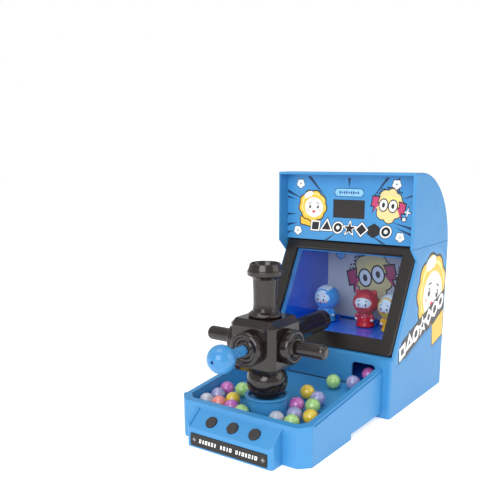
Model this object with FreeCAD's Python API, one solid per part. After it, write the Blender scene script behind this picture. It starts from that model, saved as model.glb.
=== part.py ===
import FreeCAD, Part
import math
import os
from FreeCAD import Vector

# Tabletop marble-shooting arcade game. Millimetres, +X right, +Y back, +Z up.
# Sizes below are in the cabinet's own frame: x = 0 in its middle plane, y = 0 on the front
# wall of its lower part, z = 0 on the table. save() moves every piece to the row's origin.

# Cabinet
CABINET_W = 155.4
CABINET_D = 139.4
CABINET_H = 235.0
WALL = 2.5
REAR_WALL = 4.0
FRONT_WALL_H = 59.5
SEAM_Z = 161.3
SEAM_GAP = 0.4
HEAD_SET_BACK = 39.0
HEAD_TOP_FLAT = 19.0
CHIN_DROP = 12.3
SLOPE_DEG = 28.28
SLOPE_FOOT = (5.6, 61.2)
EDGE_ROUND = 2.4
LABEL_DEEP = 0.25
LABEL = [(11.5, 51.0), (33.0, 52.0), (103.0, 74.5), (104.0, 47.5), (136.4, 55.0), (136.4, 143.0),
         (126.0, 152.5), (110.0, 158.3), (88.0, 158.3), (70.0, 151.5), (57.5, 137.0), (52.5, 118.0),
         (53.5, 100.0), (57.5, 88.5), (20.0, 74.5)]
FIT = 0.2
TOUCH = 0.02

# Window frame, its clear pane and the chamber behind it
FRAME_W = 149.5
FRAME_LONG = 113.7
FRAME_PROUD = 2.5
FRAME_SUNK = 4.0
FRAME_CORNER_R = 4.5
OPENING_W = 123.3
OPENING_LONG = 87.5
OPENING_FOOT = 16.0
PANE_T = 2.0
PANE_LAP = 4.0
SLOT_LONG = 21.6
CHAMBER_W = 123.2
CHAMBER_WALL = 2.0
CHAMBER_ROOF_Z = 160.0
BACKDROP_Y = 125.0
BACKDROP_T = 1.0
DECK_FRONT_Z = 69.0
DECK_FALL = 0.035
DECK_T = 2.0
DROP_SLOT = (107.5, 122.0)

# Rear cover (half width, bottom, top), battery door, cells, speaker and slide switch
REAR_COVER = (64.0, 14.0, 150.0)
COVER_T = 2.0
COVER_LAP = 5.0
DOOR_W = 60.0
DOOR_Y = (14.0, 64.0)
CELL_R = 7.1
CELL_LONG = 50.0
SPEAKER_Y = 102.0
SPEAKER_R = 18.0
SWITCH_X = (-5.0, 5.0)
SWITCH_Z = (30.0, 35.0)
SWITCH_TRAVEL = 4.0

# Screws: head radius, clearance hole, head recess
SCREW_HEAD_R = 2.6
CLEAR_R = 1.6
PILOT_R = 1.3
RECESS_R = 3.0
RECESS_DEEP = 1.7

# Marquee
MARQUEE_Y = 54.0
MARQUEE_T = 1.2
BACKING_T = 2.0
SCORE_W = 36.4
SCORE_H = 19.0
SCORE_Z = 197.2

# Return chute and its two mouths in the front wall
CHUTE_FRONT_Z = 30.5
CHUTE_RISE = 0.11
CHUTE_T = 2.0
CHUTE_LIP = 6.0
MOUTH_X = (36.0, 61.0)
MOUTH_Z = (29.5, 52.3)
MOUTH_R = 4.0

# Tray
TRAY_W = 138.2
TRAY_D = 142.3
TRAY_RIM_FRONT = 35.7
TRAY_RIM_BACK = 50.4
TRAY_RIM_W = 6.5
TRAY_SKIN = 2.5
TRAY_CORNER = 9.0
TRAY_FLOOR_BACK = 29.0
TRAY_FLOOR_FALL = 0.072
TRAY_FLOOR_T = 2.2
FOOT_BACK = 63.4
FOOT_LIFT = 5.5
RIM_STEP = (1.2, 2.6)

# Button console
CONSOLE_W = 91.2
CONSOLE_D = 15.1
CONSOLE_TOP = 30.0
CONSOLE_FRONT_H = 18.0
CONSOLE_RIM_W = 3.2
CONSOLE_RIM_H = 1.6
CONSOLE_CORNER = 3.5
PANEL_T = 2.2
BUTTON_R = 5.3
BUTTON_PROUD = 1.7
BUTTON_PITCH = 23.0
BUTTON_TRAVEL = 1.5
BUTTON_GAP = 0.3
PLATE_W = 81.6
PLATE_H = 11.7
PLATE_FOOT = 1.6
PLATE_T = 0.9
BOARD_DEPTH = 8.4
BOARD_POSTS = (-11.5, 11.5)
COVER_POST = 8.0
COVER_SCREW = (54.0, -118.0, -76.0)

# Launcher
PIVOT_Y = -97.0
BALL_Z = 53.3
BALL_R = 18.85
BALL_GAP = 0.4
PEDESTAL_TOP = 40.0
PEDESTAL_CLEAR = 0.35
PEDESTAL_R = BALL_R + PEDESTAL_CLEAR
PEDESTAL_WALL = 2.5
PEDESTAL_LIP = 1.4
TONGUE_T = 4.4
TONGUE_R = 5.0
TONGUE_GAP = 0.3
PIN_R = 1.5
CUP_FLOOR = 4.95
SWIVEL_FOOT = BALL_Z - BALL_R - CUP_FLOOR
SPIGOT_R = 5.0
SPIGOT_TOP_R = 7.0
RUNNING = 0.05
HOUSING = 48.0
HOUSING_Z = 89.5
HOUSING_FORWARD = 3.4
HOUSING_Y = PIVOT_Y - HOUSING_FORWARD
HOUSING_WALL = 2.6
HOUSING_CHAMFER = 5.5
BASE_LAP = 2.6
BUSH_R = 7.7
HOPPER_SPIGOT_R = 9.3
BOSS_SPIGOT_R = 7.0
BARREL_R = 10.25
BARREL_BORE_R = 8.0
MUZZLE_Y = 3.0
HOPPER_BORE_R = 7.8
HOPPER_TOP = 160.8
BOSS_R = 15.5
BOSS_T = 9.0
BOSS_LIP = 0.6
HANDLE_R = 6.6
HANDLE_REACH = 62.5
PLUNGER_R = 4.5
KNOB_R = 12.25
KNOB_Y = -164.5
STRIKER_Y = -89.4
STRIKER_T = 5.0
SPRING_R = 6.2
SPRING_WIRE = 0.9
SPRING_COILS = 8

# Knock-down targets: name, x and y of each figure
TARGETS = [("left", -39.0, 84.0), ("middle", 8.5, 85.0), ("right", 42.5, 77.0)]
HEAD_R = 14.6
TARGET_PIN_R = 1.0
KNUCKLE_R = 3.0
TARGET_HINGE_BACK = 11.0
EAR_SHIFT = 8.0
EAR_T = 2.0
COIL_WIRE_R = 0.35
COIL_TURNS = 3

# Marbles
MARBLE_R = 7.1

REAR_Y = CABINET_D
KNOB_FRONT_Y = KNOB_Y - KNOB_R
CENTRE_Y = (REAR_Y + KNOB_FRONT_Y) / 2

SIN = math.sin(math.radians(SLOPE_DEG))
COS = math.cos(math.radians(SLOPE_DEG))
PANEL_DEG = math.degrees(math.atan2(CONSOLE_TOP - CONSOLE_FRONT_H, CONSOLE_D))

os.makedirs("parts", exist_ok=True)


# ---- small shape helpers ----
def save(name, shape):
    """Move a finished piece from the cabinet's frame to the row's origin and write it."""
    shape = shape.copy()
    shape.translate(Vector(0, -CENTRE_Y, 0))
    shape.exportStep("parts/" + name + ".step")
    box = shape.BoundBox
    print(name, len(shape.Solids), "solids", round(shape.Volume), "mm3",
          [round(v, 1) for v in (box.XMin, box.YMin, box.ZMin, box.XMax, box.YMax, box.ZMax)],
          "" if shape.isValid() else "NOT VALID")


def block(x, y, z):
    """A box from three (low, high) pairs."""
    return Part.makeBox(x[1] - x[0], y[1] - y[0], z[1] - z[0], Vector(x[0], y[0], z[0]))


def prism_x(points, x):
    """A (y, z) outline pushed along X from x[0] to x[1]."""
    wire = Part.makePolygon([Vector(x[0], p[0], p[1]) for p in points + points[:1]])
    return Part.Face(wire).extrude(Vector(x[1] - x[0], 0, 0))


def prism_z(points, z):
    """An (x, y) outline pushed along Z from z[0] to z[1]."""
    wire = Part.makePolygon([Vector(p[0], p[1], z[0]) for p in points + points[:1]])
    return Part.Face(wire).extrude(Vector(0, 0, z[1] - z[0]))


def rod(radius, start, end):
    """A round bar from one point to another."""
    a = Vector(*start)
    b = Vector(*end)
    return Part.makeCylinder(radius, (b - a).Length, a, b - a)


def turned(profile, base, axis):
    """A (radius, height) outline spun about an axis through base."""
    wire = Part.makePolygon([Vector(p[0], 0, p[1]) for p in profile + profile[:1]])
    solid = Part.Face(wire).revolve(Vector(0, 0, 0), Vector(0, 0, 1), 360)
    turn = FreeCAD.Rotation(Vector(0, 0, 1), Vector(*axis))
    solid.Placement = FreeCAD.Placement(Vector(*base), turn)
    return solid


def rounded_plate(width, low, high, corner, thick):
    """A flat plate with round corners in its own frame: x across, y up, z through."""
    plate = block((-width / 2, width / 2), (low, high), thick)
    edges = [e for e in plate.Edges if abs(e.tangentAt(e.FirstParameter).z) > 0.9]
    return plate.makeFillet(corner, edges)


def join(shapes):
    """One solid from pieces that run into each other."""
    return shapes[0].fuse(shapes[1:]).removeSplitter()


def on_slope(up, out):
    """(y, z) of a point on the window slope, up along it and out from it."""
    return (SLOPE_FOOT[0] + up * SIN - out * COS, SLOPE_FOOT[1] + up * COS + out * SIN)


def lay_on_slope(shape):
    """Move a piece from the slope's own frame onto the cabinet."""
    turn = FreeCAD.Rotation(Vector(1, 0, 0), 90 - SLOPE_DEG)
    shape = shape.copy()
    shape.Placement = FreeCAD.Placement(Vector(0, *SLOPE_FOOT), turn).multiply(shape.Placement)
    return shape


def lay_on_console(shape):
    """Move a piece from the button panel's own frame onto the console."""
    turn = FreeCAD.Rotation(Vector(1, 0, 0), PANEL_DEG)
    middle = Vector(0, -TRAY_D - CONSOLE_D / 2, (CONSOLE_TOP + CONSOLE_FRONT_H) / 2)
    shape = shape.copy()
    shape.Placement = FreeCAD.Placement(middle, turn).multiply(shape.Placement)
    return shape


def edges_near(shape, test):
    """The edges whose two ends both pass a test."""
    return [e for e in shape.Edges if all(test(v.Point) for v in e.Vertexes)]


def screws(places, axis, shank_r, length):
    """Pan-head screws: head at each place, shank along axis."""
    found = []
    for place in places:
        profile = [(0, -1.6), (SCREW_HEAD_R * 0.7, -1.6), (SCREW_HEAD_R, -0.9), (SCREW_HEAD_R, 0),
                   (shank_r, 0), (shank_r, length), (0, length)]
        screw = turned(profile, place, axis)
        start = Vector(*place) - Vector(*axis) * 1.7
        slot = Part.makeCylinder(0.8, 1.0, start, Vector(*axis))
        found.append(screw.cut(slot))
    return Part.makeCompound(found)


# ---- cabinet ----
def cabinet_outline(inset):
    """The cabinet's side outline as a face in the YZ plane, moved in by a wall thickness."""
    top_y = HEAD_SET_BACK + HEAD_TOP_FLAT
    arc_r = CABINET_D - top_y
    centre = Vector(0, top_y, CABINET_H - arc_r)
    chin = on_slope((SEAM_Z - CHIN_DROP - SLOPE_FOOT[1]) / COS, 0)
    top = Vector(0, top_y, CABINET_H - inset)
    back = Vector(0, CABINET_D - inset, CABINET_H - arc_r)
    mid = centre + Vector(0, 1, 1).normalize() * (arc_r - inset)
    points = [(0, 0), (0, FRONT_WALL_H), SLOPE_FOOT, chin, (HEAD_SET_BACK, SEAM_Z),
              (HEAD_SET_BACK, CABINET_H)]
    corners = [Vector(0, p[0] + inset, p[1]) for p in points]
    corners[-1].z -= inset
    corners.append(top)
    edges = [Part.LineSegment(a, b).toShape() for a, b in zip(corners, corners[1:])]
    edges.append(Part.Arc(top, mid, back).toShape())
    foot = Vector(0, CABINET_D - inset, 0)
    edges.append(Part.LineSegment(back, foot).toShape())
    edges.append(Part.LineSegment(foot, corners[0]).toShape())
    return Part.Face(Part.Wire(edges))


def cabinet_block():
    """The whole cabinet as one solid, with its side edges rounded."""
    half = CABINET_W / 2
    face = cabinet_outline(0)
    face.translate(Vector(-half, 0, 0))
    body = face.extrude(Vector(CABINET_W, 0, 0))

    def on_side(p):
        return abs(abs(p.x) - half) < 0.01

    edges = edges_near(body, on_side)
    edges = [e for e in edges if e.BoundBox.ZMax > 0.01]
    edges = [e for e in edges if e.BoundBox.XLength < 0.01]
    return body.makeFillet(min(EDGE_ROUND, WALL * 0.96), edges)


def below(z):
    """Everything lower than a height."""
    return block((-500, 500), (-500, 500), (-10, z))


def above(z):
    """Everything higher than a height."""
    return block((-500, 500), (-500, 500), (z, 900))


def lower_cabinet():
    half = CABINET_W / 2
    inner = half - WALL
    back = CABINET_D - REAR_WALL
    body = cabinet_block().common(below(SEAM_Z))
    foot_y, foot_z = SLOPE_FOOT
    cavity = [(WALL, -1), (WALL, FRONT_WALL_H - WALL), (foot_y, foot_z - WALL), (foot_y, foot_z),
              (-30, foot_z), (-30, SEAM_Z + 1), (back, SEAM_Z + 1), (back, -1)]
    body = body.cut(prism_x(cavity, (-inner, inner)))
    # return mouths with rounded top corners
    for side in (-1, 1):
        x = sorted((side * MOUTH_X[0], side * MOUTH_X[1]))
        mouth = block(x, (-1, WALL + 1), MOUTH_Z)
        top = edges_near(mouth, lambda p: p.z > MOUTH_Z[1] - 0.01)
        top = [e for e in top if abs(e.tangentAt(e.FirstParameter).y) > 0.9]
        body = body.cut(mouth.makeFillet(MOUTH_R, top))
    # sloped ribs that carry the chamber's flange, chute ribs and rear ribs
    ribs = []
    rib_w = 7.0
    flange_back = -FRAME_SUNK - CHAMBER_WALL
    for side in (-1, 1):
        x = sorted((side * (inner - rib_w), side * (inner + 0.5)))
        slope = [on_slope(8, flange_back), on_slope(104, flange_back),
                 on_slope(104, flange_back - 2), on_slope(8, flange_back - 2)]
        ribs.append(prism_x(slope, x))
        lip = sorted((side * (inner - 3), side * (inner + 0.5)))
        low = chute_z(WALL - 0.5) - CHUTE_T
        high = chute_z(back - 12) - CHUTE_T
        rail = [(WALL - 0.5, low), (back - 12, high), (back - 12, high - 2.5), (WALL - 0.5, low - 2.5)]
        ribs.append(prism_x(rail, lip))
        ribs.append(block(lip, (BACKDROP_Y + 3.2, BACKDROP_Y + 5.2), (62, CHAMBER_ROOF_Z - 4)))
        for y in (8.0, back - 4.5):
            ribs.append(rod(4, (side * (inner - 3.5), y, 2.5), (side * (inner - 3.5), y, 24)))
    body = join([body] + ribs)
    for place in base_screw_places():
        body = body.cut(rod(PILOT_R, (place[0], place[1], 0), (place[0], place[1], 16)))
    # rebate and opening for the rear cover
    cover = REAR_COVER
    body = body.cut(block((-cover[0], cover[0]), (CABINET_D - COVER_T, CABINET_D + 1), cover[1:]))
    hole = (cover[0] - COVER_LAP, cover[1] + COVER_LAP, cover[2] - COVER_LAP)
    body = body.cut(block((-hole[0], hole[0]), (CABINET_D - 9, CABINET_D + 1), hole[1:]))
    for place in rear_screw_places():
        body = body.cut(rod(PILOT_R, (place[0], CABINET_D - 5, place[2]), place))
    for place in joining_places():
        body = body.cut(rod(CLEAR_R, (place[0], -1, place[2]), (place[0], 4, place[2])))
    # shallow die-cut recess for the label on each side
    for side in (-1, 1):
        body = body.cut(prism_x(LABEL, sorted((side * (half - LABEL_DEEP), side * (half + 1)))))
    return body


def rear_screw_places():
    x = REAR_COVER[0] - COVER_LAP / 2
    return [(s * x, CABINET_D, z) for s in (-1, 1) for z in (REAR_COVER[1] + 16, REAR_COVER[2] - 16)]


def base_screw_places():
    x = CABINET_W / 2 - WALL - 3.5
    return [(s * x, y, 0) for s in (-1, 1) for y in (8.0, CABINET_D - REAR_WALL - 4.5)]


def joining_places():
    return [(x, WALL, 14.0) for x in (-50.0, 0.0, 50.0)]


def head_shell():
    half = CABINET_W / 2
    inner = half - WALL
    body = cabinet_block().common(above(SEAM_Z))
    face = cabinet_outline(WALL)
    face.translate(Vector(-inner, 0, 0))
    cavity = face.extrude(Vector(2 * inner, 0, 0))
    backing = MARQUEE_Y + MARQUEE_T
    behind = block((-500, 500), (backing + BACKING_T, 500), (-10, 900))
    body = body.cut(cavity.common(behind))
    body = body.cut(block((-inner, inner), (-10, backing), (SEAM_Z - 1, CABINET_H - WALL)))
    frame_top = on_slope(FRAME_LONG, 0)[1] + FRAME_PROUD * SIN
    under = block((-inner, inner), (-10, backing + BACKING_T + 1), (SEAM_Z - 1, frame_top + 0.6))
    body = body.cut(under)
    half_w = SCORE_W / 2
    z = (SCORE_Z - SCORE_H / 2, SCORE_Z + SCORE_H / 2)
    body = body.cut(block((-half_w, half_w), (backing - 1, backing + 9), z))
    # shadow gap along the seam
    band = block((-half - 1, half + 1), (-10, CABINET_D + 1), (SEAM_Z - 1, SEAM_Z + SEAM_GAP))
    keep = block((-half + 0.7, half - 0.7), (HEAD_SET_BACK + 0.7, CABINET_D - 0.7),
                 (SEAM_Z - 2, SEAM_Z + 2))
    return body.cut(band.cut(keep))


def marquee_panel():
    inner = CABINET_W / 2 - WALL - FIT
    low = on_slope(FRAME_LONG, 0)[1] + FRAME_PROUD * SIN + 0.6
    panel = block((-inner, inner), (MARQUEE_Y, MARQUEE_Y + MARQUEE_T), (low, CABINET_H - WALL - FIT))
    half_w = SCORE_W / 2
    z = (SCORE_Z - SCORE_H / 2, SCORE_Z + SCORE_H / 2)
    return panel.cut(block((-half_w, half_w), (MARQUEE_Y - 1, MARQUEE_Y + 3), z))


def score_lens():
    half_w = SCORE_W / 2 - FIT / 2
    z = (SCORE_Z - SCORE_H / 2 + FIT / 2, SCORE_Z + SCORE_H / 2 - FIT / 2)
    return block((-half_w, half_w), (MARQUEE_Y + 0.3, MARQUEE_Y + 1.8), z)


def score_display():
    """Three-digit lamp module behind the dark lens."""
    half_w = SCORE_W / 2 - 1
    z = (SCORE_Z - SCORE_H / 2 + 1, SCORE_Z + SCORE_H / 2 - 1)
    return block((-half_w, half_w), (MARQUEE_Y + 1.8, MARQUEE_Y + 9.0), z)


def main_board():
    """Circuit board carried on two posts behind the marquee, with its chips."""
    y = MARQUEE_Y + 9.0
    board = block((-38, 38), (y, y + 1.6), (SCORE_Z - 22, SCORE_Z + 18))
    backing = MARQUEE_Y + MARQUEE_T + BACKING_T
    parts = [board]
    for x in (-32, 32):
        parts.append(rod(2.5, (x, backing, SCORE_Z), (x, y + 0.5, SCORE_Z)))
    parts.append(block((-8, 8), (y + 1, y + 4), (SCORE_Z - 6, SCORE_Z + 6)))
    parts.append(block((14, 24), (y + 1, y + 6), (SCORE_Z - 14, SCORE_Z - 4)))
    return join(parts)


def base_plate():
    x = CABINET_W / 2 - WALL - FIT
    y = (WALL + FIT, CABINET_D - REAR_WALL - FIT)
    plate = block((-x, x), y, (0, WALL))
    plate = plate.cut(block((-DOOR_W / 2, DOOR_W / 2), DOOR_Y, (-1, 5)))
    for place in base_screw_places():
        plate = plate.cut(rod(CLEAR_R, (place[0], place[1], -1), (place[0], place[1], 4)))
        plate = plate.cut(rod(RECESS_R, (place[0], place[1], -1), (place[0], place[1], RECESS_DEEP)))
    plate = plate.cut(rod(1.8, (0, SPEAKER_Y, -1), (0, SPEAKER_Y, 4)))
    for step in range(6):
        a = math.radians(60 * step)
        x = 9 * math.cos(a)
        y = SPEAKER_Y + 9 * math.sin(a)
        plate = plate.cut(rod(1.8, (x, y, -1), (x, y, 4)))
    return plate


def battery_door():
    x = DOOR_W / 2 - FIT
    door = block((-x, x), (DOOR_Y[0] + FIT, DOOR_Y[1] - FIT), (0, 2.0))
    for step in range(3):
        y = DOOR_Y[0] + 6 + 3 * step
        door = door.cut(block((-8, 8), (y, y + 1.2), (-1, 0.6)))
    return door


def battery_box():
    """Open-bottomed box on the base plate that holds three cells side by side."""
    x = CELL_LONG / 2 + 2.5
    mid = (DOOR_Y[0] + DOOR_Y[1]) / 2
    y = 3 * CELL_R + 1.5
    top = WALL + 2 * CELL_R + 1.0
    box = block((-x - 1.5, x + 1.5), (mid - y - 1.5, mid + y + 1.5), (WALL, top + 1.5))
    box = box.cut(block((-x, x), (mid - y, mid + y), (WALL - 1, top)))
    rim = block((-x - 5, x + 5), (mid - y - 5, mid + y + 5), (WALL, WALL + 1.5))
    rim = rim.cut(block((-x, x), (mid - y, mid + y), (0, 9)))
    return join([box, rim])


def batteries():
    cells = []
    mid = (DOOR_Y[0] + DOOR_Y[1]) / 2
    for step in (-1, 0, 1):
        y = mid + step * (2 * CELL_R + 0.3)
        z = 2.05 + CELL_R
        cell = rod(CELL_R, (-CELL_LONG / 2, y, z), (CELL_LONG / 2 - 1.5, y, z))
        tip = rod(2.6, (CELL_LONG / 2 - 2, y, z), (CELL_LONG / 2, y, z))
        cells.append(join([cell, tip]))
    return Part.makeCompound(cells)


def speaker():
    profile = [(0, 0), (SPEAKER_R, 0), (SPEAKER_R, 1.5), (16, 3), (10, 6), (10, 10), (0, 10)]
    return turned(profile, (0, SPEAKER_Y, WALL), (0, 0, 1))


def rear_cover():
    w = REAR_COVER[0] - FIT
    z = (REAR_COVER[1] + FIT, REAR_COVER[2] - FIT)
    cover = block((-w, w), (CABINET_D - COVER_T, CABINET_D), z)
    for place in rear_screw_places():
        cover = cover.cut(rod(CLEAR_R, (place[0], CABINET_D - 3, place[2]),
                              (place[0], CABINET_D + 1, place[2])))
    for row in range(7):
        low = 96.0 + 5 * row
        cover = cover.cut(block((-22, 22), (CABINET_D - 3, CABINET_D + 1), (low, low + 2)))
    cover = cover.cut(block(SWITCH_X, (CABINET_D - 3, CABINET_D + 1), SWITCH_Z))
    return cover


def switch_body():
    """Slide switch behind the rear cover, its slot open towards the back."""
    y = CABINET_D - COVER_T
    case = block((SWITCH_X[0] - 3, SWITCH_X[1] + 3), (y - 6, y), (SWITCH_Z[0] - 2, SWITCH_Z[1] + 2))
    return case.cut(block(SWITCH_X, (y - 3, y + 1), SWITCH_Z))


def switch_slider():
    y = CABINET_D
    x = (SWITCH_X[0] + 0.3, SWITCH_X[1] - 0.3 - SWITCH_TRAVEL)
    z = (SWITCH_Z[0] + 0.3, SWITCH_Z[1] - 0.3)
    return block(x, (y - 4.7, y - 0.3), z)


def rear_screws():
    return screws(rear_screw_places(), (0, -1, 0), 1.25, 4.0)


def base_screws():
    return screws([(p[0], p[1], RECESS_DEEP - 0.05) for p in base_screw_places()], (0, 0, 1), 1.25, 12.0)


def joining_screws():
    return screws(joining_places(), (0, -1, 0), 1.5, 7.0)


# ---- window frame, pane and chamber ----
def window_frame():
    frame = rounded_plate(FRAME_W, 0, FRAME_LONG, FRAME_CORNER_R, (-FRAME_SUNK + PANE_T, FRAME_PROUD))
    rim = [e for e in frame.Edges if e.BoundBox.ZMin > FRAME_PROUD - 0.01]
    frame = frame.makeFillet(1.2, rim)
    top = OPENING_FOOT + OPENING_LONG
    hole = block((-OPENING_W / 2, OPENING_W / 2), (OPENING_FOOT, top), (-20, 20))
    frame = frame.cut(hole)
    inner = [e for e in frame.Edges if e.BoundBox.ZMin > FRAME_PROUD - 0.01
             and abs(e.BoundBox.Center.x) < OPENING_W / 2 + 0.1
             and OPENING_FOOT - 0.1 < e.BoundBox.Center.y < top + 0.1]
    frame = frame.makeChamfer(1.0, inner)
    return lay_on_slope(frame)


def window_pane():
    x = OPENING_W / 2 + PANE_LAP - FIT
    low = OPENING_FOOT + SLOT_LONG
    high = OPENING_FOOT + OPENING_LONG + PANE_LAP
    return lay_on_slope(block((-x, x), (low, high), (-FRAME_SUNK, -FRAME_SUNK + PANE_T)))


def deck_z(y):
    return DECK_FRONT_Z - DECK_FALL * (y - 10)


def chamber_tub():
    """Blue lining: floor, side walls, roof, and the flange that the window frame sits on."""
    half = CHAMBER_W / 2
    outer = half + CHAMBER_WALL
    end = BACKDROP_Y + 3
    flange_back = -FRAME_SUNK - CHAMBER_WALL
    low = deck_z(end) - DECK_T
    roof_y = on_slope((CHAMBER_ROOF_Z - SLOPE_FOOT[1] - flange_back * SIN) / COS, flange_back)[0]
    start = on_slope(9, flange_back)
    outline = [start, (end, low), (end, CHAMBER_ROOF_Z), (roof_y, CHAMBER_ROOF_Z)]
    box = prism_x(outline, (-outer, outer))
    inside = [(-20, deck_z(-20)), (end + 1, deck_z(end + 1)), (end + 1, CHAMBER_ROOF_Z - CHAMBER_WALL),
              (-20, CHAMBER_ROOF_Z - CHAMBER_WALL)]
    box = box.cut(prism_x(inside, (-half, half)))
    box = box.cut(block((-half + 6, half - 6), DROP_SLOT, (30, 90)))
    # front flange: full ring, then a second layer around the pane
    wide = FRAME_W / 2 - 0.1
    ring = block((-wide, wide), (8.0, FRAME_LONG - 1), (flange_back, -FRAME_SUNK))
    top = OPENING_FOOT + OPENING_LONG
    ring = ring.cut(block((-half, half), (OPENING_FOOT, top), (-20, 20)))
    pane_x = OPENING_W / 2 + PANE_LAP
    layer = block((-wide, wide), (8.0, FRAME_LONG - 1), (-FRAME_SUNK, -FRAME_SUNK + PANE_T))
    layer = layer.cut(block((-pane_x, pane_x), (OPENING_FOOT, top + PANE_LAP + FIT), (-20, 20)))
    flange = lay_on_slope(join([ring, layer]))
    # rear flange against the cabinet's ribs
    side = CABINET_W / 2 - WALL - FIT
    rear = block((-side, side), (end - 2, end), (low, CHAMBER_ROOF_Z - 4))
    rear = rear.cut(block((-half, half), (end - 3, end + 1), (low - 1, CHAMBER_ROOF_Z)))
    ears = []
    for _, x, y in TARGETS:
        for shift in (-1, 1):
            ears.append(target_ear(x + shift * EAR_SHIFT, y + TARGET_HINGE_BACK))
    tub = join([box, flange, rear] + ears)
    for _, x, y in TARGETS:
        hinge = y + TARGET_HINGE_BACK
        z = hinge_z(hinge)
        tub = tub.cut(rod(TARGET_PIN_R + TOUCH, (x - 12, hinge, z), (x + 12, hinge, z)))
    return tub


def hinge_z(y):
    return deck_z(y) + KNUCKLE_R + 1.2


def target_ear(x, y):
    """One upright ear of a target's hinge, rising from the deck."""
    z = hinge_z(y)
    foot = block((x - EAR_T / 2, x + EAR_T / 2), (y - 3, y + 3), (deck_z(y) - 0.8, z))
    eye = rod(3, (x - EAR_T / 2, y, z), (x + EAR_T / 2, y, z))
    return join([foot, eye])


def target_pins():
    pins = []
    for _, x, y in TARGETS:
        hinge = y + TARGET_HINGE_BACK
        z = hinge_z(hinge)
        reach = EAR_SHIFT + EAR_T
        pins.append(rod(TARGET_PIN_R, (x - reach, hinge, z), (x + reach, hinge, z)))
    return Part.makeCompound(pins)


def target_springs():
    """Close-wound torsion coils round each pin, beside the knuckle, that stand the figure up."""
    bore = TARGET_PIN_R + 0.4
    outside = bore + 2 * COIL_WIRE_R
    coils = []
    for _, x, y in TARGETS:
        hinge = y + TARGET_HINGE_BACK
        profile = [(bore, 0)]
        for turn in range(COIL_TURNS):
            low = 2 * COIL_WIRE_R * turn
            high = low + 2 * COIL_WIRE_R
            profile += [(outside - 0.3, low), (outside, low + 0.2), (outside, high - 0.2)]
        profile += [(outside - 0.3, high), (bore, high)]
        coils.append(turned(profile, (x + 4.5, hinge, hinge_z(hinge)), (1, 0, 0)))
    return Part.makeCompound(coils)


def target(x, y):
    """One knock-down figure: round head, bell-shaped body and hinge knuckle."""
    floor = deck_z(y) + 0.6
    hinge = y + TARGET_HINGE_BACK
    z = hinge_z(hinge)
    head_z = floor + 27.0
    body = turned([(0, 0), (9.2, 0), (10.2, 1.0), (9.4, 8), (7.6, 15), (0, 18)], (x, y, floor), (0, 0, 1))
    head = Part.makeSphere(HEAD_R, Vector(x, y, head_z))
    tab = block((x - 4.0, x + 4.0), (y + 2, hinge), (z - 1.6, z + 1.6))
    knuckle = rod(KNUCKLE_R, (x - 4.0, hinge, z), (x + 4.0, hinge, z))
    solid = join([body, head, tab, knuckle])
    return solid.cut(rod(TARGET_PIN_R + RUNNING, (x - 6, hinge, z), (x + 6, hinge, z)))


def hit_switches():
    """One small switch on the deck behind each figure."""
    cases = []
    for _, x, y in TARGETS:
        low = deck_z(y + TARGET_HINGE_BACK)
        back = y + TARGET_HINGE_BACK + 5.5
        case = block((x - 4, x + 4), (back, back + 5), (low - 0.15, low + 4))
        cut = prism_x([(-20, deck_z(-20)), (200, deck_z(200)), (200, 0), (-20, 0)], (x - 9, x + 9))
        cases.append(case.cut(cut))
    return Part.makeCompound(cases)


def backdrop_card():
    half = CHAMBER_W / 2 - 0.05
    low = deck_z(BACKDROP_Y)
    return block((-half, half), (BACKDROP_Y, BACKDROP_Y + BACKDROP_T), (low, CHAMBER_ROOF_Z - CHAMBER_WALL))


def lamp_strip():
    """Board with lamps under the chamber's roof, just behind the window's top edge."""
    z = CHAMBER_ROOF_Z - CHAMBER_WALL
    y = 72.0
    parts = [block((-26, 26), (y, y + 8), (z - 1.2, z))]
    for step in range(5):
        x = -20 + 10 * step
        parts.append(block((x - 1.75, x + 1.75), (y + 2.2, y + 5.7), (z - 2.4, z - 1.0)))
    return join(parts)


def chute_z(y):
    return CHUTE_FRONT_Z + CHUTE_RISE * (y - WALL)


def return_chute():
    """Sloped tray under the deck: a wedge in its front middle sends marbles to both mouths."""
    wide = CABINET_W / 2 - WALL - FIT
    back = CABINET_D - REAR_WALL - 12
    outline = [(WALL + FIT, chute_z(WALL + FIT)), (back, chute_z(back)), (back, chute_z(back) - CHUTE_T),
               (WALL + FIT, chute_z(WALL + FIT) - CHUTE_T)]
    parts = [prism_x(outline, (-wide, wide))]
    lip = [(p[0], p[1] + (CHUTE_LIP if i < 2 else 0)) for i, p in enumerate(outline)]
    side_x = MOUTH_X[1] + 1
    for side in (-1, 1):
        x = sorted((side * side_x, side * (side_x + 2)))
        parts.append(prism_x(lip, x))
    parts.append(block((-side_x, side_x), (back - 2, back), (chute_z(back) - 1, chute_z(back) + CHUTE_LIP)))
    half = MOUTH_X[0] - 1
    plan = [(-half, WALL + FIT), (half, WALL + FIT), (0, 48)]
    wedge = prism_z(plan, (CHUTE_FRONT_Z - CHUTE_T / 2, CHUTE_FRONT_Z + 12))
    return join(parts + [wedge.cut(prism_x([(-9, 0), (200, 0), (200, chute_z(200) - 1),
                                            (-9, chute_z(-9) - 1)], (-99, 99)))])


# ---- tray and button console ----
def tray_plan(inset, corner, front_extra=0):
    """The tray's outline from above, moved in by a wall."""
    x = TRAY_W / 2 - inset
    y = -TRAY_D + inset + front_extra
    return [(-x, 1), (-x, y + corner), (-x + corner, y), (x - corner, y), (x, y + corner), (x, 1)]


def floor_z(y):
    return TRAY_FLOOR_BACK + TRAY_FLOOR_FALL * y


def rim_z(y):
    return TRAY_RIM_BACK + (TRAY_RIM_BACK - TRAY_RIM_FRONT) / TRAY_D * y


def panel_z(y, depth=0):
    """Height of the sloped button panel at y, or of a plane that deep below it."""
    rise = math.tan(math.radians(PANEL_DEG))
    return CONSOLE_TOP + rise * (y + TRAY_D) - depth / math.cos(math.radians(PANEL_DEG))


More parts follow.
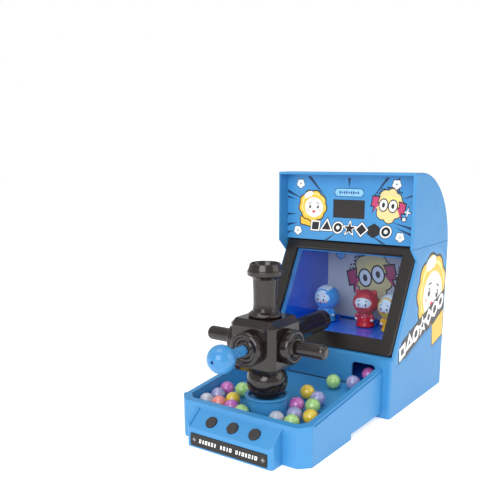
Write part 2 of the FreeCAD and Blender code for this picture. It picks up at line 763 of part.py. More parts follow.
def tray():
    outer = prism_z(tray_plan(0, TRAY_CORNER), (0, 99))
    uprights = [e for e in outer.Edges if abs(e.tangentAt(e.FirstParameter).z) > 0.9
                and e.BoundBox.YMax < -1]
    outer = outer.makeFillet(3.0, uprights)
    side = [(0, FOOT_LIFT), (0, rim_z(0)), (-TRAY_D - 1, rim_z(-TRAY_D - 1)), (-TRAY_D - 1, 0),
            (-FOOT_BACK, 0), (-FOOT_BACK, FOOT_LIFT)]
    body = outer.common(prism_x(side, (-200, 200)))
    # the well above the sloped floor
    well = prism_z(tray_plan(TRAY_RIM_W, TRAY_CORNER - 2), (0, 99))
    over = [(5, floor_z(5)), (5, 99), (-TRAY_D, 99), (-TRAY_D, floor_z(-TRAY_D))]
    body = body.cut(well.common(prism_x(over, (-200, 200))))
    # outer step just under the rim
    step_in, step_down = RIM_STEP
    band = [(1, rim_z(1) + 9), (1, rim_z(1) - step_down), (-TRAY_D - 2, rim_z(-TRAY_D - 2) - step_down),
            (-TRAY_D - 2, rim_z(-TRAY_D - 2) + 9)]
    core = prism_z(tray_plan(step_in, TRAY_CORNER), (-9, 120))
    keep_front = block((-200, 200), (-TRAY_D - 5, -TRAY_D + TRAY_CORNER + 3), (-9, 120))
    body = body.cut(prism_x(band, (-200, 200)).cut(core).cut(keep_front))
    # console block with raised end rims and rounded front corners
    half = CONSOLE_W / 2
    front = -TRAY_D - CONSOLE_D
    end = [(-TRAY_D + 1, 0), (front, 0), (front, CONSOLE_FRONT_H + CONSOLE_RIM_H),
           (-TRAY_D, CONSOLE_TOP + CONSOLE_RIM_H), (-TRAY_D + 1, CONSOLE_TOP + CONSOLE_RIM_H)]
    console = prism_x(end, (-half, half))
    corners = [e for e in console.Edges if abs(e.tangentAt(e.FirstParameter).z) > 0.9
               and e.BoundBox.YMax < front + 0.1]
    console = console.makeFillet(CONSOLE_CORNER, corners)
    flat = half - CONSOLE_RIM_W
    over = [(front - 1, panel_z(front - 1)), (-TRAY_D, CONSOLE_TOP), (-TRAY_D, CONSOLE_TOP + 9),
            (front - 1, CONSOLE_TOP + 9)]
    console = console.cut(prism_x(over, (-flat, flat)))
    body = join([body, console])
    # hollow underside: console first, then the tray's front and back bays
    in_front = front + PANEL_T
    bay_top = panel_z(-TRAY_D - 0.5, PANEL_T)
    inner_wall = -TRAY_D + TRAY_RIM_W - TRAY_SKIN
    bay = [(in_front, -1), (in_front, panel_z(in_front, PANEL_T)), (-TRAY_D - 0.5, bay_top),
           (inner_wall, bay_top), (inner_wall, -1)]
    body = body.cut(prism_x(bay, (-half + 3.6, half - 3.6)))
    under = prism_z(tray_plan(TRAY_SKIN, TRAY_CORNER - 1), (-9, 99))
    for y in ((-TRAY_D, -FOOT_BACK - TRAY_SKIN), (-FOOT_BACK, -TRAY_SKIN)):
        low = [(y[0], -5), (y[0], floor_z(y[0]) - TRAY_FLOOR_T), (y[1], floor_z(y[1]) - TRAY_FLOOR_T),
               (y[1], -5)]
        body = body.cut(under.common(prism_x(low, (-200, 200))))
    # posts for the button board, button holes, nameplate recess, joining screw holes
    posts = []
    for x in BOARD_POSTS:
        posts.append(lay_on_console(rod(2.0, (x, 0, -PANEL_T + 0.5), (x, 0, -BOARD_DEPTH))))
    for place in cover_screw_places():
        top = floor_z(place[1]) - TRAY_FLOOR_T / 2
        posts.append(rod(3.2, (place[0], place[1], COVER_POST), (place[0], place[1], top)))
    body = join([body] + posts)
    for place in cover_screw_places():
        top = floor_z(place[1]) - TRAY_FLOOR_T
        body = body.cut(rod(1.52, (place[0], place[1], 0), (place[0], place[1], top)))
    for x in button_places():
        body = body.cut(lay_on_console(rod(BUTTON_R + BUTTON_GAP, (x, 0, -PANEL_T - 3), (x, 0, 5))))
    recess = block((-PLATE_W / 2 - FIT, PLATE_W / 2 + FIT), (front - 1, front + 0.5),
                   (PLATE_FOOT - FIT, PLATE_FOOT + PLATE_H + FIT))
    body = body.cut(recess)
    for place in joining_places():
        body = body.cut(rod(1.52, (place[0], -9, place[2]), (place[0], 1, place[2])))
    for place in pedestal_screw_places():
        z = floor_z(place[1])
        body = body.cut(rod(CLEAR_R, (place[0], place[1], z - 9), (place[0], place[1], z + 9)))
    return body


def button_places():
    return (-BUTTON_PITCH, 0.0, BUTTON_PITCH)


def button(x):
    flange = BUTTON_R + 1.3
    profile = [(0, -PANEL_T - 1.0), (flange, -PANEL_T - 1.0), (flange, -PANEL_T), (BUTTON_R, -PANEL_T),
               (BUTTON_R, BUTTON_PROUD - 0.7), (BUTTON_R - 0.7, BUTTON_PROUD), (0, BUTTON_PROUD)]
    return lay_on_console(turned(profile, (x, 0, 0), (0, 0, 1)))


def button_board():
    parts = [block((-36, 36), (-4.5, 4.5), (-BOARD_DEPTH - 1.2, -BOARD_DEPTH))]
    top = -PANEL_T - 1.0 - BUTTON_TRAVEL - 0.1
    for x in button_places():
        parts.append(block((x - 3, x + 3), (-3, 3), (-BOARD_DEPTH - 0.5, top)))
    return lay_on_console(join(parts))


def nameplate():
    front = -TRAY_D - CONSOLE_D
    plate = block((-PLATE_W / 2, PLATE_W / 2), (front + 0.5 - PLATE_T, front + 0.5),
                  (PLATE_FOOT, PLATE_FOOT + PLATE_H))
    edges = [e for e in plate.Edges if abs(e.tangentAt(e.FirstParameter).y) > 0.9]
    return plate.makeFillet(1.6, edges)


def tray_cover():
    """Plate that closes the underside of the tray's front foot."""
    lip = TRAY_SKIN + FIT
    back = -FOOT_BACK - TRAY_SKIN - FIT
    plan = tray_plan(lip, TRAY_CORNER - 1)
    plan = [(x, min(y, back)) for x, y in plan]
    plate = prism_z(plan, (0, 2))
    half = CONSOLE_W / 2 - 3.6 - FIT
    front = -TRAY_D - CONSOLE_D + PANEL_T + FIT
    plate = join([plate, block((-half, half), (front, -TRAY_D + 12), (0, 2))])
    inner_wall = block((-200, 200), (-TRAY_D - 0.1, -TRAY_D + TRAY_SKIN + 0.2), (-1, 3))
    keep = block((-half, half), (-200, 0), (-1, 3))
    plate = plate.cut(inner_wall.cut(keep))
    parts = [plate]
    for place in cover_screw_places():
        parts.append(rod(3.2, (place[0], place[1], 1), (place[0], place[1], COVER_POST)))
    plate = join(parts)
    for place in cover_screw_places():
        plate = plate.cut(rod(CLEAR_R, (place[0], place[1], -1), (place[0], place[1], 30)))
        plate = plate.cut(rod(RECESS_R, (place[0], place[1], -1), (place[0], place[1], RECESS_DEEP)))
    return plate


def cover_screw_places():
    return [(s * COVER_SCREW[0], y, 0) for s in (-1, 1) for y in COVER_SCREW[1:]]


def cover_screws():
    found = []
    for place in cover_screw_places():
        head = RECESS_DEEP - 0.05
        length = floor_z(place[1]) - TRAY_FLOOR_T - head - 0.4
        found.append(screws([(place[0], place[1], head)], (0, 0, 1), 1.5, length))
    return Part.makeCompound(found)


# ---- launcher ----
def pedestal_screw_places():
    found = []
    for turn in (90, 210, 330):
        a = math.radians(turn)
        found.append((10.5 * math.cos(a), PIVOT_Y + 10.5 * math.sin(a), 0))
    return found


def pedestal():
    """Ring that stands on the tray floor, with a rolled lip and a floor the swivel turns on."""
    bore = PEDESTAL_R - PEDESTAL_WALL
    low = floor_z(PIVOT_Y - PEDESTAL_R) - 1
    lip = PEDESTAL_R + PEDESTAL_LIP
    profile = [(0, low), (PEDESTAL_R, low), (PEDESTAL_R, PEDESTAL_TOP - 2.6), (lip, PEDESTAL_TOP - 1.6),
               (lip, PEDESTAL_TOP - 0.6), (lip - 0.8, PEDESTAL_TOP), (bore + 0.6, PEDESTAL_TOP),
               (bore, PEDESTAL_TOP - 0.8), (bore, SWIVEL_FOOT), (SPIGOT_R + RUNNING, SWIVEL_FOOT),
               (SPIGOT_R + RUNNING, SWIVEL_FOOT - 2.5), (0, SWIVEL_FOOT - 2.5)]
    ring = turned(profile, (0, PIVOT_Y, 0), (0, 0, 1))
    below_floor = [(0, floor_z(0)), (-TRAY_D, floor_z(-TRAY_D)), (-TRAY_D, 0), (0, 0)]
    ring = ring.cut(prism_x(below_floor, (-99, 99)))
    for place in pedestal_screw_places():
        z = floor_z(place[1])
        ring = ring.cut(rod(1.25, (place[0], place[1], z - 2), (place[0], place[1], SWIVEL_FOOT - 0.6)))
    return ring


def pedestal_screws():
    found = []
    for place in pedestal_screw_places():
        head = floor_z(place[1]) - TRAY_FLOOR_T
        tilt_room = SCREW_HEAD_R * TRAY_FLOOR_FALL + 0.05
        length = SWIVEL_FOOT - 1.2 - head
        found.append(screws([(place[0], place[1], head - tilt_room)], (0, 0, 1), 1.2, length))
    return Part.makeCompound(found)


def swivel_cup():
    """Turntable in the pedestal with the upright tongue that the ball rocks on."""
    bore = PEDESTAL_R - PEDESTAL_WALL - 0.3
    profile = [(0, SWIVEL_FOOT - 2.2), (SPIGOT_R, SWIVEL_FOOT - 2.2), (SPIGOT_R, SWIVEL_FOOT),
               (bore, SWIVEL_FOOT), (bore, PEDESTAL_TOP - 3.0), (0, PEDESTAL_TOP - 3.0)]
    cup = turned(profile, (0, PIVOT_Y, 0), (0, 0, 1))
    cup = cup.cut(Part.makeSphere(BALL_R + BALL_GAP, Vector(0, PIVOT_Y, BALL_Z)))
    half = TONGUE_T / 2
    tongue = block((-half, half), (PIVOT_Y - TONGUE_R, PIVOT_Y + TONGUE_R), (SWIVEL_FOOT + 2, BALL_Z))
    eye = rod(TONGUE_R, (-half, PIVOT_Y, BALL_Z), (half, PIVOT_Y, BALL_Z))
    cup = join([cup, tongue, eye])
    return cup.cut(rod(PIN_R + RUNNING, (-9, PIVOT_Y, BALL_Z), (9, PIVOT_Y, BALL_Z)))


def pivot_ball():
    low = HOUSING_Z - HOUSING / 2
    ball = Part.makeSphere(BALL_R, Vector(0, PIVOT_Y, BALL_Z)).common(below(low))
    half = TONGUE_T / 2 + TONGUE_GAP
    sweep = TONGUE_R + 4.0
    slot = block((-half, half), (PIVOT_Y - sweep, PIVOT_Y + sweep), (BALL_Z - BALL_R - 1, BALL_Z))
    eye = rod(sweep, (-half, PIVOT_Y, BALL_Z), (half, PIVOT_Y, BALL_Z))
    ball = ball.cut(join([slot, eye]))
    spigot = rod(SPIGOT_TOP_R, (0, PIVOT_Y, low - 1), (0, PIVOT_Y, low + 7))
    ball = join([ball, spigot])
    return ball.cut(rod(PIN_R + TOUCH, (-30, PIVOT_Y, BALL_Z), (30, PIVOT_Y, BALL_Z)))


def pivot_pin():
    reach = math.sqrt(BALL_R ** 2 - PIN_R ** 2) - 0.6
    return rod(PIN_R, (-reach, PIVOT_Y, BALL_Z), (reach, PIVOT_Y, BALL_Z))


def chamfered_cube(size, chamfer):
    half = size / 2
    cube = block((-half, half), (HOUSING_Y - half, HOUSING_Y + half), (HOUSING_Z - half, HOUSING_Z + half))
    return cube.makeChamfer(chamfer, cube.Edges)


def turret_housing():
    """Hollow chamfered cube, open underneath, with a hole in every other face."""
    inner = HOUSING / 2 - HOUSING_WALL
    low = HOUSING_Z - HOUSING / 2
    cube = chamfered_cube(HOUSING, HOUSING_CHAMFER)
    room = chamfered_cube(2 * inner, HOUSING_CHAMFER - 1)
    cube = cube.cut(room)
    door = inner - HOUSING_CHAMFER + 1 - BASE_LAP
    cube = cube.cut(block((-door, door), (HOUSING_Y - door, HOUSING_Y + door), (low - 1, HOUSING_Z - 15)))
    cube = cube.cut(rod(BARREL_R + FIT / 2, (0, HOUSING_Y, HOUSING_Z), (0, HOUSING_Y + 30, HOUSING_Z)))
    cube = cube.cut(rod(BUSH_R + FIT / 2, (0, HOUSING_Y, HOUSING_Z), (0, HOUSING_Y - 30, HOUSING_Z)))
    cube = cube.cut(rod(HOPPER_SPIGOT_R + FIT / 2, (0, HOUSING_Y, HOUSING_Z), (0, HOUSING_Y, HOUSING_Z + 30)))
    for side in (-1, 1):
        end = (side * 30, HOUSING_Y, HOUSING_Z)
        cube = cube.cut(rod(BOSS_SPIGOT_R + FIT / 2, (0, HOUSING_Y, HOUSING_Z), end))
    return cube


def housing_base():
    """Plate that closes the cube's underside and takes the ball's spigot."""
    inner = HOUSING / 2 - HOUSING_WALL
    low = HOUSING_Z - HOUSING / 2
    door = inner - HOUSING_CHAMFER + 1 - BASE_LAP - FIT
    plate = block((-door, door), (HOUSING_Y - door, HOUSING_Y + door), (low, low + 3))
    plate = plate.cut(rod(SPIGOT_TOP_R + TOUCH, (0, PIVOT_Y, low - 1), (0, PIVOT_Y, low + 9)))
    lap = door + BASE_LAP - FIT
    flange = block((-lap, lap), (HOUSING_Y - lap, HOUSING_Y + lap), (low + HOUSING_WALL, low + HOUSING_WALL + 2))
    flange = flange.cut(rod(SPIGOT_TOP_R + TOUCH, (0, PIVOT_Y, low - 1), (0, PIVOT_Y, low + 9)))
    return join([plate, flange])


def barrel():
    """Tube from the plunger's bush, through the cube, to the muzzle; hopper hole on top."""
    start = HOUSING_Y - HOUSING / 2 + HOUSING_WALL + 0.05
    tube = rod(BARREL_R, (0, start, HOUSING_Z), (0, MUZZLE_Y, HOUSING_Z))
    ends = [e for e in tube.Edges if e.BoundBox.YMin > MUZZLE_Y - 0.01]
    tube = tube.makeFillet(0.9, ends)
    groove = turned([(BARREL_R - 0.7, 0), (BARREL_R + 1, 0), (BARREL_R + 1, 1.2), (BARREL_R - 0.7, 1.2)],
                    (0, MUZZLE_Y - 9.5, HOUSING_Z), (0, 1, 0))
    tube = tube.cut(groove)
    tube = tube.cut(rod(BARREL_BORE_R, (0, start - 1, HOUSING_Z), (0, MUZZLE_Y + 1, HOUSING_Z)))
    mouth = turned([(0, -1.2), (BARREL_BORE_R, -1.2), (BARREL_BORE_R + 1.3, 0.1), (0, 0.1)],
                   (0, MUZZLE_Y, HOUSING_Z), (0, 1, 0))
    tube = tube.cut(mouth)
    return tube.cut(rod(HOPPER_BORE_R, (0, HOUSING_Y, HOUSING_Z), (0, HOUSING_Y, HOUSING_Z + 20)))


def hopper():
    """Feed funnel: flared rim, slightly tapered neck, conical foot and spigot to the barrel."""
    top = HOUSING_Z + HOUSING / 2
    bore = HOPPER_BORE_R
    rim = HOPPER_TOP
    profile = [(bore, HOUSING_Z + 2), (HOPPER_SPIGOT_R, HOUSING_Z + 2), (HOPPER_SPIGOT_R, top), (14.2, top),
               (15.2, top + 1.2), (15.2, top + 2.2), (13.6, top + 3.6), (11.4, top + 5.2), (10.9, top + 8.0),
               (10.6, top + 11), (10.7, top + 22), (11.2, rim - 14), (12.6, rim - 11.6), (14.9, rim - 11.0),
               (15.9, rim - 10.2), (15.9, rim - 6.6), (15.2, rim - 5.6), (14.2, rim - 2.4),
               (13.5, rim - 0.4), (12.8, rim), (12.2, rim - 0.6), (10.4, rim - 9), (bore, rim - 13.5)]
    funnel = turned(profile, (0, HOUSING_Y, 0), (0, 0, 1))
    saddle = BARREL_R + TOUCH
    return funnel.cut(rod(saddle, (0, HOUSING_Y - 40, HOUSING_Z), (0, HOUSING_Y + 40, HOUSING_Z)))


def boss_profile(collar_r, collar_out, bore, spigot_r, spigot_in):
    """Outline of a round boss plate: rounded disc, shallow dish and central collar."""
    return [(bore, -spigot_in), (spigot_r, -spigot_in), (spigot_r, 0), (BOSS_R - 0.6, 0), (BOSS_R, 0.8),
            (BOSS_R, BOSS_T - 2.2), (BOSS_R - 0.7, BOSS_T - 0.8), (BOSS_R - 2.2, BOSS_T),
            (BOSS_R - 3.8, BOSS_T - 0.3), (BOSS_R - 4.8, BOSS_T - 1.6), (collar_r + 1.2, BOSS_T - 1.8),
            (collar_r, BOSS_T - 0.8), (collar_r, collar_out - 1.2), (collar_r - 1.2, collar_out),
            (bore, collar_out)]


def front_bush():
    """Boss on the cube's front face that guides the plunger and backs its spring."""
    face = HOUSING_Y - HOUSING / 2
    spigot = HOUSING_WALL + 3.0
    profile = boss_profile(7.6, BOSS_T + BOSS_LIP, PLUNGER_R + 0.08, BUSH_R, spigot)
    return turned(profile, (0, face, HOUSING_Z), (0, -1, 0))


def side_boss(side):
    face = side * HOUSING / 2
    spigot = HOUSING_WALL + 2.0
    profile = boss_profile(9.0, BOSS_T + BOSS_LIP, HANDLE_R - 1.5 + TOUCH, BOSS_SPIGOT_R, spigot)
    return turned(profile, (face, HOUSING_Y, HOUSING_Z), (side, 0, 0))


def handle(side):
    """Round grip with a domed end and four long flutes."""
    start = HOUSING / 2 + BOSS_T + BOSS_LIP
    tip = HANDLE_REACH - start
    neck = HANDLE_R - 1.5
    inside = HOUSING / 2 - HOUSING_WALL - 4.0 - start
    profile = [(0, inside), (neck, inside), (neck, 0), (HANDLE_R, 0), (HANDLE_R, tip - 3.5),
               (HANDLE_R - 0.6, tip - 1.8), (HANDLE_R - 2.0, tip - 0.5), (HANDLE_R - 3.8, tip), (0, tip)]
    grip = turned(profile, (side * start, HOUSING_Y, HOUSING_Z), (side, 0, 0))
    for step in range(4):
        a = math.radians(45 + 90 * step)
        y = HOUSING_Y + (HANDLE_R + 0.5) * math.cos(a)
        z = HOUSING_Z + (HANDLE_R + 0.5) * math.sin(a)
        grip = grip.cut(rod(1.1, (side * (start + 3), y, z), (side * (HANDLE_REACH - 6), y, z)))
    return grip


def plunger_rod():
    """Ribbed rod with the striker that pushes a marble up the barrel."""
    knob_in = KNOB_Y + 6
    knob_back = KNOB_Y + KNOB_R - 1.5
    striker_back = STRIKER_Y - STRIKER_T
    core = PLUNGER_R - 1.4
    profile = [(0, knob_in), (3.0, knob_in), (3.0, knob_back), (PLUNGER_R, knob_back)]
    y = KNOB_Y + KNOB_R + 0.6
    while y + 3.2 < striker_back - 8:
        profile += [(PLUNGER_R, y), (core, y), (core, y + 1.3), (PLUNGER_R, y + 1.3)]
        y += 3.2
    profile += [(PLUNGER_R, striker_back), (BARREL_BORE_R - 0.07, striker_back),
                (BARREL_BORE_R - 0.07, STRIKER_Y - 0.6), (BARREL_BORE_R - 0.7, STRIKER_Y), (0, STRIKER_Y)]
    return turned(profile, (0, 0, HOUSING_Z), (0, 1, 0))


def plunger_knob():
    ball = Part.makeSphere(KNOB_R, Vector(0, KNOB_Y, HOUSING_Z))
    back = (0, KNOB_Y + 30, HOUSING_Z)
    ball = ball.cut(rod(3.0 + 2 * TOUCH, (0, KNOB_Y + 6 - TOUCH, HOUSING_Z), back))
    ball = ball.cut(rod(PLUNGER_R + 2 * TOUCH, (0, KNOB_Y + KNOB_R - 1.5, HOUSING_Z), back))
    return ball.cut(rod(1.6, (0, KNOB_Y - 30, HOUSING_Z), (0, KNOB_Y - KNOB_R + 5, HOUSING_Z)))


def plunger_spring():
    """Compression spring between the bush and the striker, its coils joined by a thin web."""
    start = HOUSING_Y - HOUSING / 2 + HOUSING_WALL + 3.0 + TOUCH
    end = STRIKER_Y - STRIKER_T - TOUCH
    inner = SPRING_R - SPRING_WIRE / 2
    web = inner + 0.25
    outer = SPRING_R + SPRING_WIRE / 2
    pitch = (end - start - SPRING_WIRE) / (SPRING_COILS - 1)
    profile = [(inner, 0)]
    for coil in range(SPRING_COILS):
        low = coil * pitch
        high = low + SPRING_WIRE
        profile += [(web, low), (outer, low + 0.25), (outer, high - 0.25), (web, high)]
    profile += [(inner, end - start)]
    return turned(profile, (0, start, HOUSING_Z), (0, 1, 0))


# ---- marbles ----
# x and y of each marble: in the tray, and one on the chute behind the right mouth
MARBLES = {
    "green": [(-40.8, -79.6), (-10.7, -122.2), (37.7, -79.1), (38.8, -116.8), (26.0, -19.1)],
    "yellow": [(-34.5, -102.9), (17.0, -53.8), (47.6, -99.6)],
    "pink": [(-55.0, -85.2), (-25.4, -117.3), (23.6, -83.7), (50, 10)],
    "violet": [(-53.4, -101.3), (33.6, -62.8), (32.7, -102.5), (44.2, -12.5)],
    "coral": [(-40.5, -116.5)],
    "white": [(-54.9, -117.0), (23.7, -117.7)],
}


def marbles(places):
    found = []
    for x, y in places:
        level, fall = (floor_z(y), TRAY_FLOOR_FALL) if y < 0 else (chute_z(y), CHUTE_RISE)
        z = level + MARBLE_R * math.sqrt(1 + fall ** 2) + 0.05
        found.append(Part.makeSphere(MARBLE_R, Vector(x, y, z)))
    return Part.makeCompound(found)


save("lower_cabinet", lower_cabinet())
save("head_shell", head_shell())
save("rear_cover", rear_cover())
save("rear_cover_screws", rear_screws())
save("base_plate", base_plate())
save("base_screws", base_screws())
save("battery_box", battery_box())
save("battery_door", battery_door())
save("batteries", batteries())
save("speaker", speaker())
save("switch_body", switch_body())
save("switch_slider", switch_slider())
save("marquee_panel", marquee_panel())
save("score_lens", score_lens())
save("score_display", score_display())
save("main_board", main_board())
save("window_frame", window_frame())
save("window_pane", window_pane())
save("chamber_tub", chamber_tub())
save("backdrop_card", backdrop_card())
save("lamp_strip", lamp_strip())
save("target_pins", target_pins())
save("target_springs", target_springs())
save("hit_switches", hit_switches())
for side_name, target_x, target_y in TARGETS:
    save("target_" + side_name, target(target_x, target_y))
save("return_chute", return_chute())
save("tray", tray())
save("tray_cover", tray_cover())
save("tray_cover_screws", cover_screws())
save("joining_screws", joining_screws())
save("nameplate", nameplate())
for number, button_x in enumerate(button_places(), 1):
    save("button_" + str(number), button(button_x))
save("button_board", button_board())
save("pedestal", pedestal())
save("pedestal_screws", pedestal_screws())
save("swivel_cup", swivel_cup())
save("pivot_ball", pivot_ball())
save("pivot_pin", pivot_pin())
save("turret_housing", turret_housing())
save("housing_base", housing_base())
save("barrel", barrel())
save("hopper", hopper())
save("front_bush", front_bush())
save("left_boss", side_boss(-1))
save("right_boss", side_boss(1))
save("left_handle", handle(-1))
save("right_handle", handle(1))
save("plunger_rod", plunger_rod())
save("plunger_knob", plunger_knob())
save("plunger_spring", plunger_spring())
for colour, colour_places in MARBLES.items():
    save("marbles_" + colour, marbles(colour_places))
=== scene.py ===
import bmesh
import bpy
import math
from mathutils import Matrix, Vector


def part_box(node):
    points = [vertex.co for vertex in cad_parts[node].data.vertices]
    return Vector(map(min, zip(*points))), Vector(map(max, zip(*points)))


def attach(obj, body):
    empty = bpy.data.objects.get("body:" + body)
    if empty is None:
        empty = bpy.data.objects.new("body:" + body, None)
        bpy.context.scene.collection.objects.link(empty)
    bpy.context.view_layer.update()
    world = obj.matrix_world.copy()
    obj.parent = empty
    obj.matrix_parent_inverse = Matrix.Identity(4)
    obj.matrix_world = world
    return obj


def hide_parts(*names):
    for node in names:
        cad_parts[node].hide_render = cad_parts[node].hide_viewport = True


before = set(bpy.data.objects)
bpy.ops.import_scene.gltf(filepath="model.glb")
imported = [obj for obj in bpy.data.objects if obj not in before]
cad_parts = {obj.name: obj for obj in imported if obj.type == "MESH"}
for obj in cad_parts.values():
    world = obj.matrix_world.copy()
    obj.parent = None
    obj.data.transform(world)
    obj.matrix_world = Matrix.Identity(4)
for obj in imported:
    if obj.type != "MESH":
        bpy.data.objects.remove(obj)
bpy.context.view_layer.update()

MM = 0.001
front_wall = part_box("lower_cabinet")[0].y


# ---- Cabinet, tray and pedestal mouldings ----
# The outer shells of the game: injection-moulded ABS in light blue, screwed together from behind
# and below. The moulds were spark-eroded, so the faces are satin with a fine even grain, and each
# edge has the small radius that lets a moulding leave its mould.
CABINET_BLUE = "#3888C2"
CABINET_BLUE_PALE = "#3E90CA"


def linear(code):
    """An sRGB hex colour as linear red, green and blue, with a full alpha."""
    parts = [int(code[i:i + 2], 16) / 255 for i in (1, 3, 5)]
    return [p / 12.92 if p <= 0.04045 else ((p + 0.055) / 1.055) ** 2.4 for p in parts] + [1.0]


def add(material, kind, settings=None, sockets=None):
    """Adds one shader node, with its settings, and its sockets' values or links."""
    node = material.node_tree.nodes.new(kind)
    for name, value in (settings or {}).items():
        setattr(node, name, value)
    for name, value in (sockets or {}).items():
        if isinstance(value, bpy.types.NodeSocket):
            material.node_tree.links.new(value, node.inputs[name])
        else:
            node.inputs[name].default_value = value
    return node


def moulded_plastic(name, shade, pale, rough, grain=0.9, relief=0.010, edge=0.35, swirl=40.0, **gloss):
    """Moulded plastic: flow marks in the colour, eroded grain in the surface, softened edges.

    grain, relief, edge and swirl are in millimetres: grain width and depth, edge radius, flow marks.
    """
    material = bpy.data.materials.new(name)
    material.use_nodes = True
    shader = material.node_tree.nodes["Principled BSDF"]
    links = material.node_tree.links
    place = add(material, "ShaderNodeTexCoord").outputs["Object"]
    flow = add(material, "ShaderNodeTexNoise", {}, {
        "Vector": place, "Scale": 1 / (swirl * MM), "Detail": 3.0, "Roughness": 0.5})
    colour = add(material, "ShaderNodeMix", {"data_type": "RGBA"}, {
        0: flow.outputs["Fac"], 6: linear(shade), 7: linear(pale)})
    links.new(colour.outputs[2], shader.inputs["Base Color"])
    rubbed = add(material, "ShaderNodeTexNoise", {}, {"Vector": place, "Scale": 1 / (9 * MM), "Detail": 4.0})
    finish = add(material, "ShaderNodeMapRange", {}, {
        "Value": rubbed.outputs["Fac"], "To Min": rough - 0.05, "To Max": rough + 0.05})
    links.new(finish.outputs["Result"], shader.inputs["Roughness"])
    eroded = add(material, "ShaderNodeTexNoise", {}, {
        "Vector": place, "Scale": 1 / (grain * MM), "Detail": 2.0, "Roughness": 0.6})
    soft = add(material, "ShaderNodeBevel", {"samples": 4}, {"Radius": edge * MM})
    bump = add(material, "ShaderNodeBump", {}, {
        "Strength": 0.5, "Distance": relief * MM, "Height": eroded.outputs["Fac"],
        "Normal": soft.outputs["Normal"]})
    links.new(bump.outputs["Normal"], shader.inputs["Normal"])
    for socket, value in gloss.items():
        shader.inputs[socket.replace("_", " ")].default_value = value
    return material


def finish(nodes, material):
    """Gives carried-over CAD pieces their material."""
    for node in nodes:
        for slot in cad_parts[node].material_slots:
            slot.material = material


cabinet_abs = moulded_plastic("blue_abs_spark_eroded", CABINET_BLUE, CABINET_BLUE_PALE, 0.42, IOR=1.53)
finish(["lower_cabinet", "head_shell", "rear_cover", "base_plate", "battery_door", "battery_box", "tray",
        "tray_cover", "pedestal", "swivel_cup"], cabinet_abs)


# ---- Seam shadow strip ----
# A thin near-black strip lies along the joint between the tray's floor and the cabinet's front wall: a
# painted shadow standing in for the shade in that gap. It runs along the tray's back edge.
STRIP_LONG = 123.0
STRIP_DEEP = 0.7
STRIP_HIGH = 0.9
STRIP_EDGE = 0.25
SEAM_GAP = 0.03
SEAM_SINK = 0.1
TRAY_FLOOR_BACK = 29.0
# The strip's near-black colour is painted shadow for the gap in the seam.
seam_shadow_black = moulded_plastic("black_painted_seam_shadow", "#131214", "#1A191C", 0.85, grain=0.5, relief=0.03, edge=0.1)
strip = bmesh.new()
bmesh.ops.create_cube(strip, size=1.0)
bmesh.ops.scale(strip, verts=strip.verts, vec=(STRIP_LONG, STRIP_DEEP, STRIP_HIGH))
long_edges = [e for e in strip.edges if abs(e.verts[0].co.x - e.verts[1].co.x) > 1 and e.verts[0].co.z > 0]
bmesh.ops.bevel(strip, geom=long_edges, offset=STRIP_EDGE, segments=3, profile=0.5, affect="EDGES",
                material=-1)
bmesh.ops.translate(strip, verts=strip.verts, vec=(
    0, -STRIP_DEEP / 2 - SEAM_GAP, TRAY_FLOOR_BACK + STRIP_HIGH / 2 - SEAM_SINK))
bmesh.ops.scale(strip, verts=strip.verts, vec=(MM, MM, MM))
bmesh.ops.translate(strip, verts=strip.verts, vec=(0, front_wall, 0))
strip_mesh = bpy.data.meshes.new("seam_shadow_strip")
strip.to_mesh(strip_mesh)
strip.free()
strip_mesh.materials.append(seam_shadow_black)
seam_shadow_strip = bpy.data.objects.new("seam_shadow_strip", strip_mesh)
bpy.context.scene.collection.objects.link(seam_shadow_strip)
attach(seam_shadow_strip, "console")


# ---- Launcher: ball, cube, hopper, barrel, bosses and handles ----
# The swivelling gun is black ABS from a polished mould, so it is glossy, and it reads brown-black
# where the room's light spreads over it. Its pieces push into one another round the cube.
launcher_abs = moulded_plastic("black_abs_polished", "#1B1412", "#211917", 0.15, grain=2.4, relief=0.0015,
                               edge=1.0, swirl=25.0, IOR=1.55)
finish(["pivot_ball", "turret_housing", "housing_base", "barrel", "hopper", "front_bush", "left_boss",
        "right_boss", "left_handle", "right_handle"], launcher_abs)


# ---- Plunger: ribbed rod and round knob ----
# The knob and its rod are moulded in a slightly clear sky-blue plastic, so light gets a little way
# in before it comes back. The rod's rings show between the knob and the front boss.
knob_plastic = moulded_plastic("sky_blue_translucent_abs", "#3885BE", "#438FC6", 0.12, grain=2.0,
                               relief=0.003, edge=0.5, IOR=1.5, Subsurface_Weight=0.35,
                               Subsurface_Scale=0.006)
finish(["plunger_knob", "plunger_rod"], knob_plastic)


# ---- Buttons and small black plastic parts ----
# The three buttons are soft dark grey caps. The switch, speaker and sensor cases are matte black.
button_rubber = moulded_plastic("dark_grey_button_rubber", "#2C2827", "#353130", 0.6, grain=0.7, relief=0.02,
                                edge=0.7)
finish(["button_1", "button_2", "button_3"], button_rubber)
case_plastic = moulded_plastic("black_case_plastic", "#16161A", "#1D1D20", 0.5)
finish(["speaker", "switch_body", "switch_slider", "hit_switches", "score_display"], case_plastic)


# ---- Window frame, clear pane and score lens ----
# A black frame with a rolled edge holds a clear acrylic pane over the play field. The score lens
# is tinted so dark that the unlit digits behind it stay hidden.
frame_abs = moulded_plastic("black_abs_satin", "#1B1716", "#221D1B", 0.3, grain=1.0, relief=0.006, edge=0.5)
finish(["window_frame"], frame_abs)
lens_acrylic = moulded_plastic("smoked_acrylic", "#1C1716", "#211B1A", 0.1, grain=3.0, relief=0.001, edge=0.2)
finish(["score_lens"], lens_acrylic)

